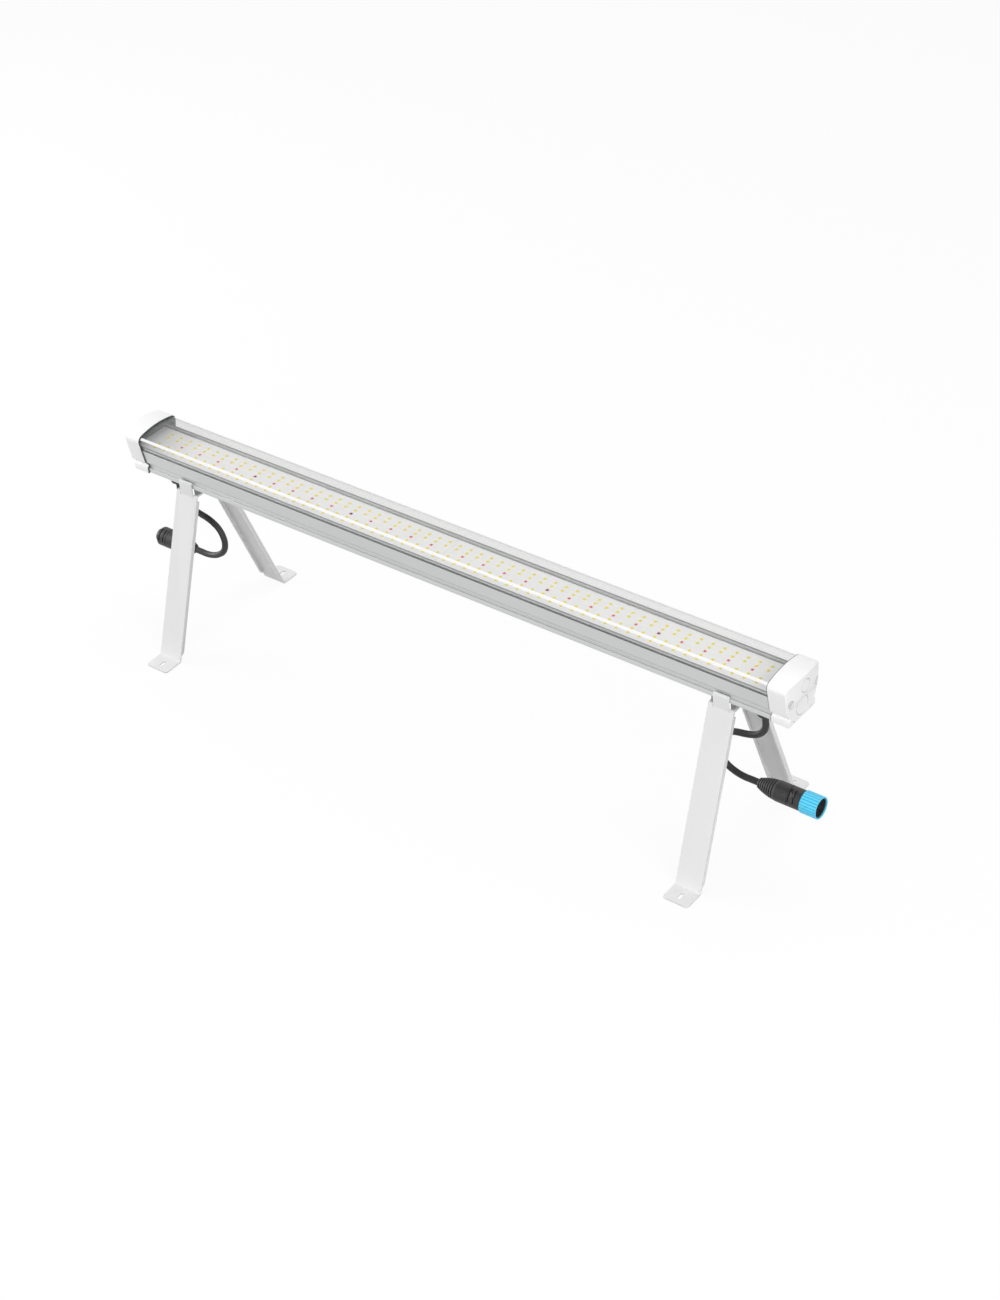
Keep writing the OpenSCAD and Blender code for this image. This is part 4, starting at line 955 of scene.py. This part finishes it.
# Pieces that keep their CAD shape, with rounded edges
for node, name, width, material, body, slot in (
        ("gland_nut_left", "leftGlandNut", 0.5, mouldedNylon, "bar", "nylon_black"),
        ("gland_nut_right", "rightGlandNut", 0.5, mouldedNylon, "bar", "nylon_black"),
        ("gland_body_left", "leftGlandBody", 0.4, mouldedNylon, "bar", "nylon_black"),
        ("gland_body_right", "rightGlandBody", 0.4, mouldedNylon, "bar", "nylon_black"),
        ("plug_body", "plugBody", 0.3, mouldedNylon, "bar", "nylon_black"),
        ("plug_insert", "plugInsert", 0.25, mouldedPbt, "bar", "nylon_black"),
        ("plug_pins", "plugPins", 0.3, platedBrass, "bar", "contact_brass"),
        ("socket_body", "socketBody", 0.3, mouldedNylon, "bar", "nylon_black"),
        ("socket_insert", "socketInsert", 0.25, mouldedPbt, "bar", "nylon_black"),
        ("socket_contacts", "socketContacts", 0.2, platedBrass, "bar", "contact_brass"),
        ("locking_ring", "lockingRing", 0.4, cyanAbs, "locking_ring", "ring_cyan"),
        ("cap_screws", "capScrews", 0.25, paintedSteel, "bar", "screw_steel"),
        ("stand_left", "leftStand", 0.35, powderCoat, "stand_left", "stand_white"),
        ("stand_right", "rightStand", 0.35, powderCoat, "stand_right", "stand_white")):
    softened(node, name, width, material, body)
# the wall between the ring's ribs counts as a groove and gets painted shade
wallR = gripSizes["radius"] - 0.05
markGrooves(bpy.data.objects["lockingRing"].data,
            lambda x, y, z: float(math.hypot(y, z - gripSizes["height"]) > wallR))
print("small pieces rounded")

# Finishes of the CAD nodes that stay
for material, kept in (
        (boardMask, ("board_left", "board_right")),
        (thermalPad, ("tape_left", "tape_right", "driver_pads")),
        (siliconeSeal, ("cap_seal_left", "cap_seal_right", "gland_seals", "gland_washers")),
        (castAluminium, ("driver_case", "driver_lid")), (greenMask, ("driver_board",)),
        (windingCopper, ("driver_transformer",)), (shrinkSleeve, ("driver_capacitors",)),
        (naturalPolyamide, ("terminal_block_left", "terminal_block_right")),
        (wireInsulation["through"], ("through_wires",)), (wireInsulation["feed"], ("driver_feed",)),
        (wireInsulation["dc"], ("dc_leads",)), (wireInsulation["earth"], ("earth_lead",)),
        (zincSteel, ("earth_screw",)), (mouldedNylon, ("gland_locknuts",)),
        (cableJacket, ("lead_left", "lead_right"))):
    for node in kept:
        nodes[node].material_slots[0].material = material

# Floor, world and lamps: places and sizes in metres, lamps in watts
studio = {
    "floor": "#F8F8F8", "bounce": "#9A9A9A", "glow": 0.88, "around": 0.6, "reach": 9,
    "boxSize": (1.6, 1.6), "target": (0, 0, 0.25),
    "lamps": {"left": (48, (-2.8, -0.6, 0.9)), "right": (30, (2.4, -1.2, 1.1)),
              "back": (13, (0.2, 0.9, 2.7)), "front": (11, (0.3, -2.8, 0.9))},
}


def eyeRays(tree):
    # the kinds of ray, and 1 for those that see the backdrop: straight, mirrored or let through
    path = addNode(tree, "ShaderNodeLightPath").outputs
    bent = addNode(tree, "ShaderNodeMath", {"operation": "MAXIMUM"}, {
        0: path["Is Glossy Ray"], 1: path["Is Transmission Ray"]})
    return path, addNode(tree, "ShaderNodeMath", {"operation": "MAXIMUM"}, {0: path["Is Camera Ray"], 1: bent})


corners = rectangle(-studio["reach"], studio["reach"], -studio["reach"], studio["reach"])
floorData = bpy.data.meshes.new("studioFloor")
floorData.from_pydata([(x, y, 0) for x, y in corners], [], [(0, 1, 2, 3)])
# matt paper, which glows a little for the eye so that it reads as white, and throws less light back
floorPaper = bpy.data.materials.new("matteStudioPaper")
floorPaper.use_nodes = True
tree = floorPaper.node_tree
tree.nodes.remove(tree.nodes["Principled BSDF"])
path, seen = eyeRays(tree)
lit = addNode(tree, "ShaderNodeBsdfDiffuse", {"Color": linear(studio["floor"])})
grey = addNode(tree, "ShaderNodeBsdfDiffuse", {"Color": linear(studio["bounce"])})
paper = addNode(tree, "ShaderNodeMixShader", {}, {0: path["Is Diffuse Ray"], 1: lit, 2: grey})
glow = addNode(tree, "ShaderNodeEmission", {"Color": (1, 1, 1, 1), "Strength": 1.0})
part = addNode(tree, "ShaderNodeMath", {"operation": "MULTIPLY", 1: studio["glow"]}, {0: seen})
mixed = addNode(tree, "ShaderNodeMixShader", {}, {0: part, 1: paper, 2: glow})
connect(tree, tree.nodes["Material Output"], {"Surface": mixed})
floorData.materials.append(floorPaper)
floor = newObject("studioFloor", floorData)

world = bpy.data.worlds.new("studioWorld")
scene.world = world
world.use_nodes = True
tree = world.node_tree
tree.nodes.clear()
path, seen = eyeRays(tree)
around = addNode(tree, "ShaderNodeBackground", {"Color": (1, 1, 1, 1), "Strength": studio["around"]})
backdrop = addNode(tree, "ShaderNodeBackground", {"Color": (1, 1, 1, 1), "Strength": 1.0})
mixed = addNode(tree, "ShaderNodeMixShader", {}, {0: seen, 1: around, 2: backdrop})
addNode(tree, "ShaderNodeOutputWorld", {}, {0: mixed})

for name, (power, place) in studio["lamps"].items():
    lamp = bpy.data.lights.new(name + "Box", "AREA")
    lamp.energy = power
    lamp.shape = "RECTANGLE"
    lamp.size, lamp.size_y = studio["boxSize"]
    box = newObject(name + "Box", lamp)
    aim = Vector(studio["target"]) - Vector(place)
    box.matrix_world = Matrix.Translation(place) @ aim.to_track_quat("-Z", "Y").to_matrix().to_4x4()

print("stage set")
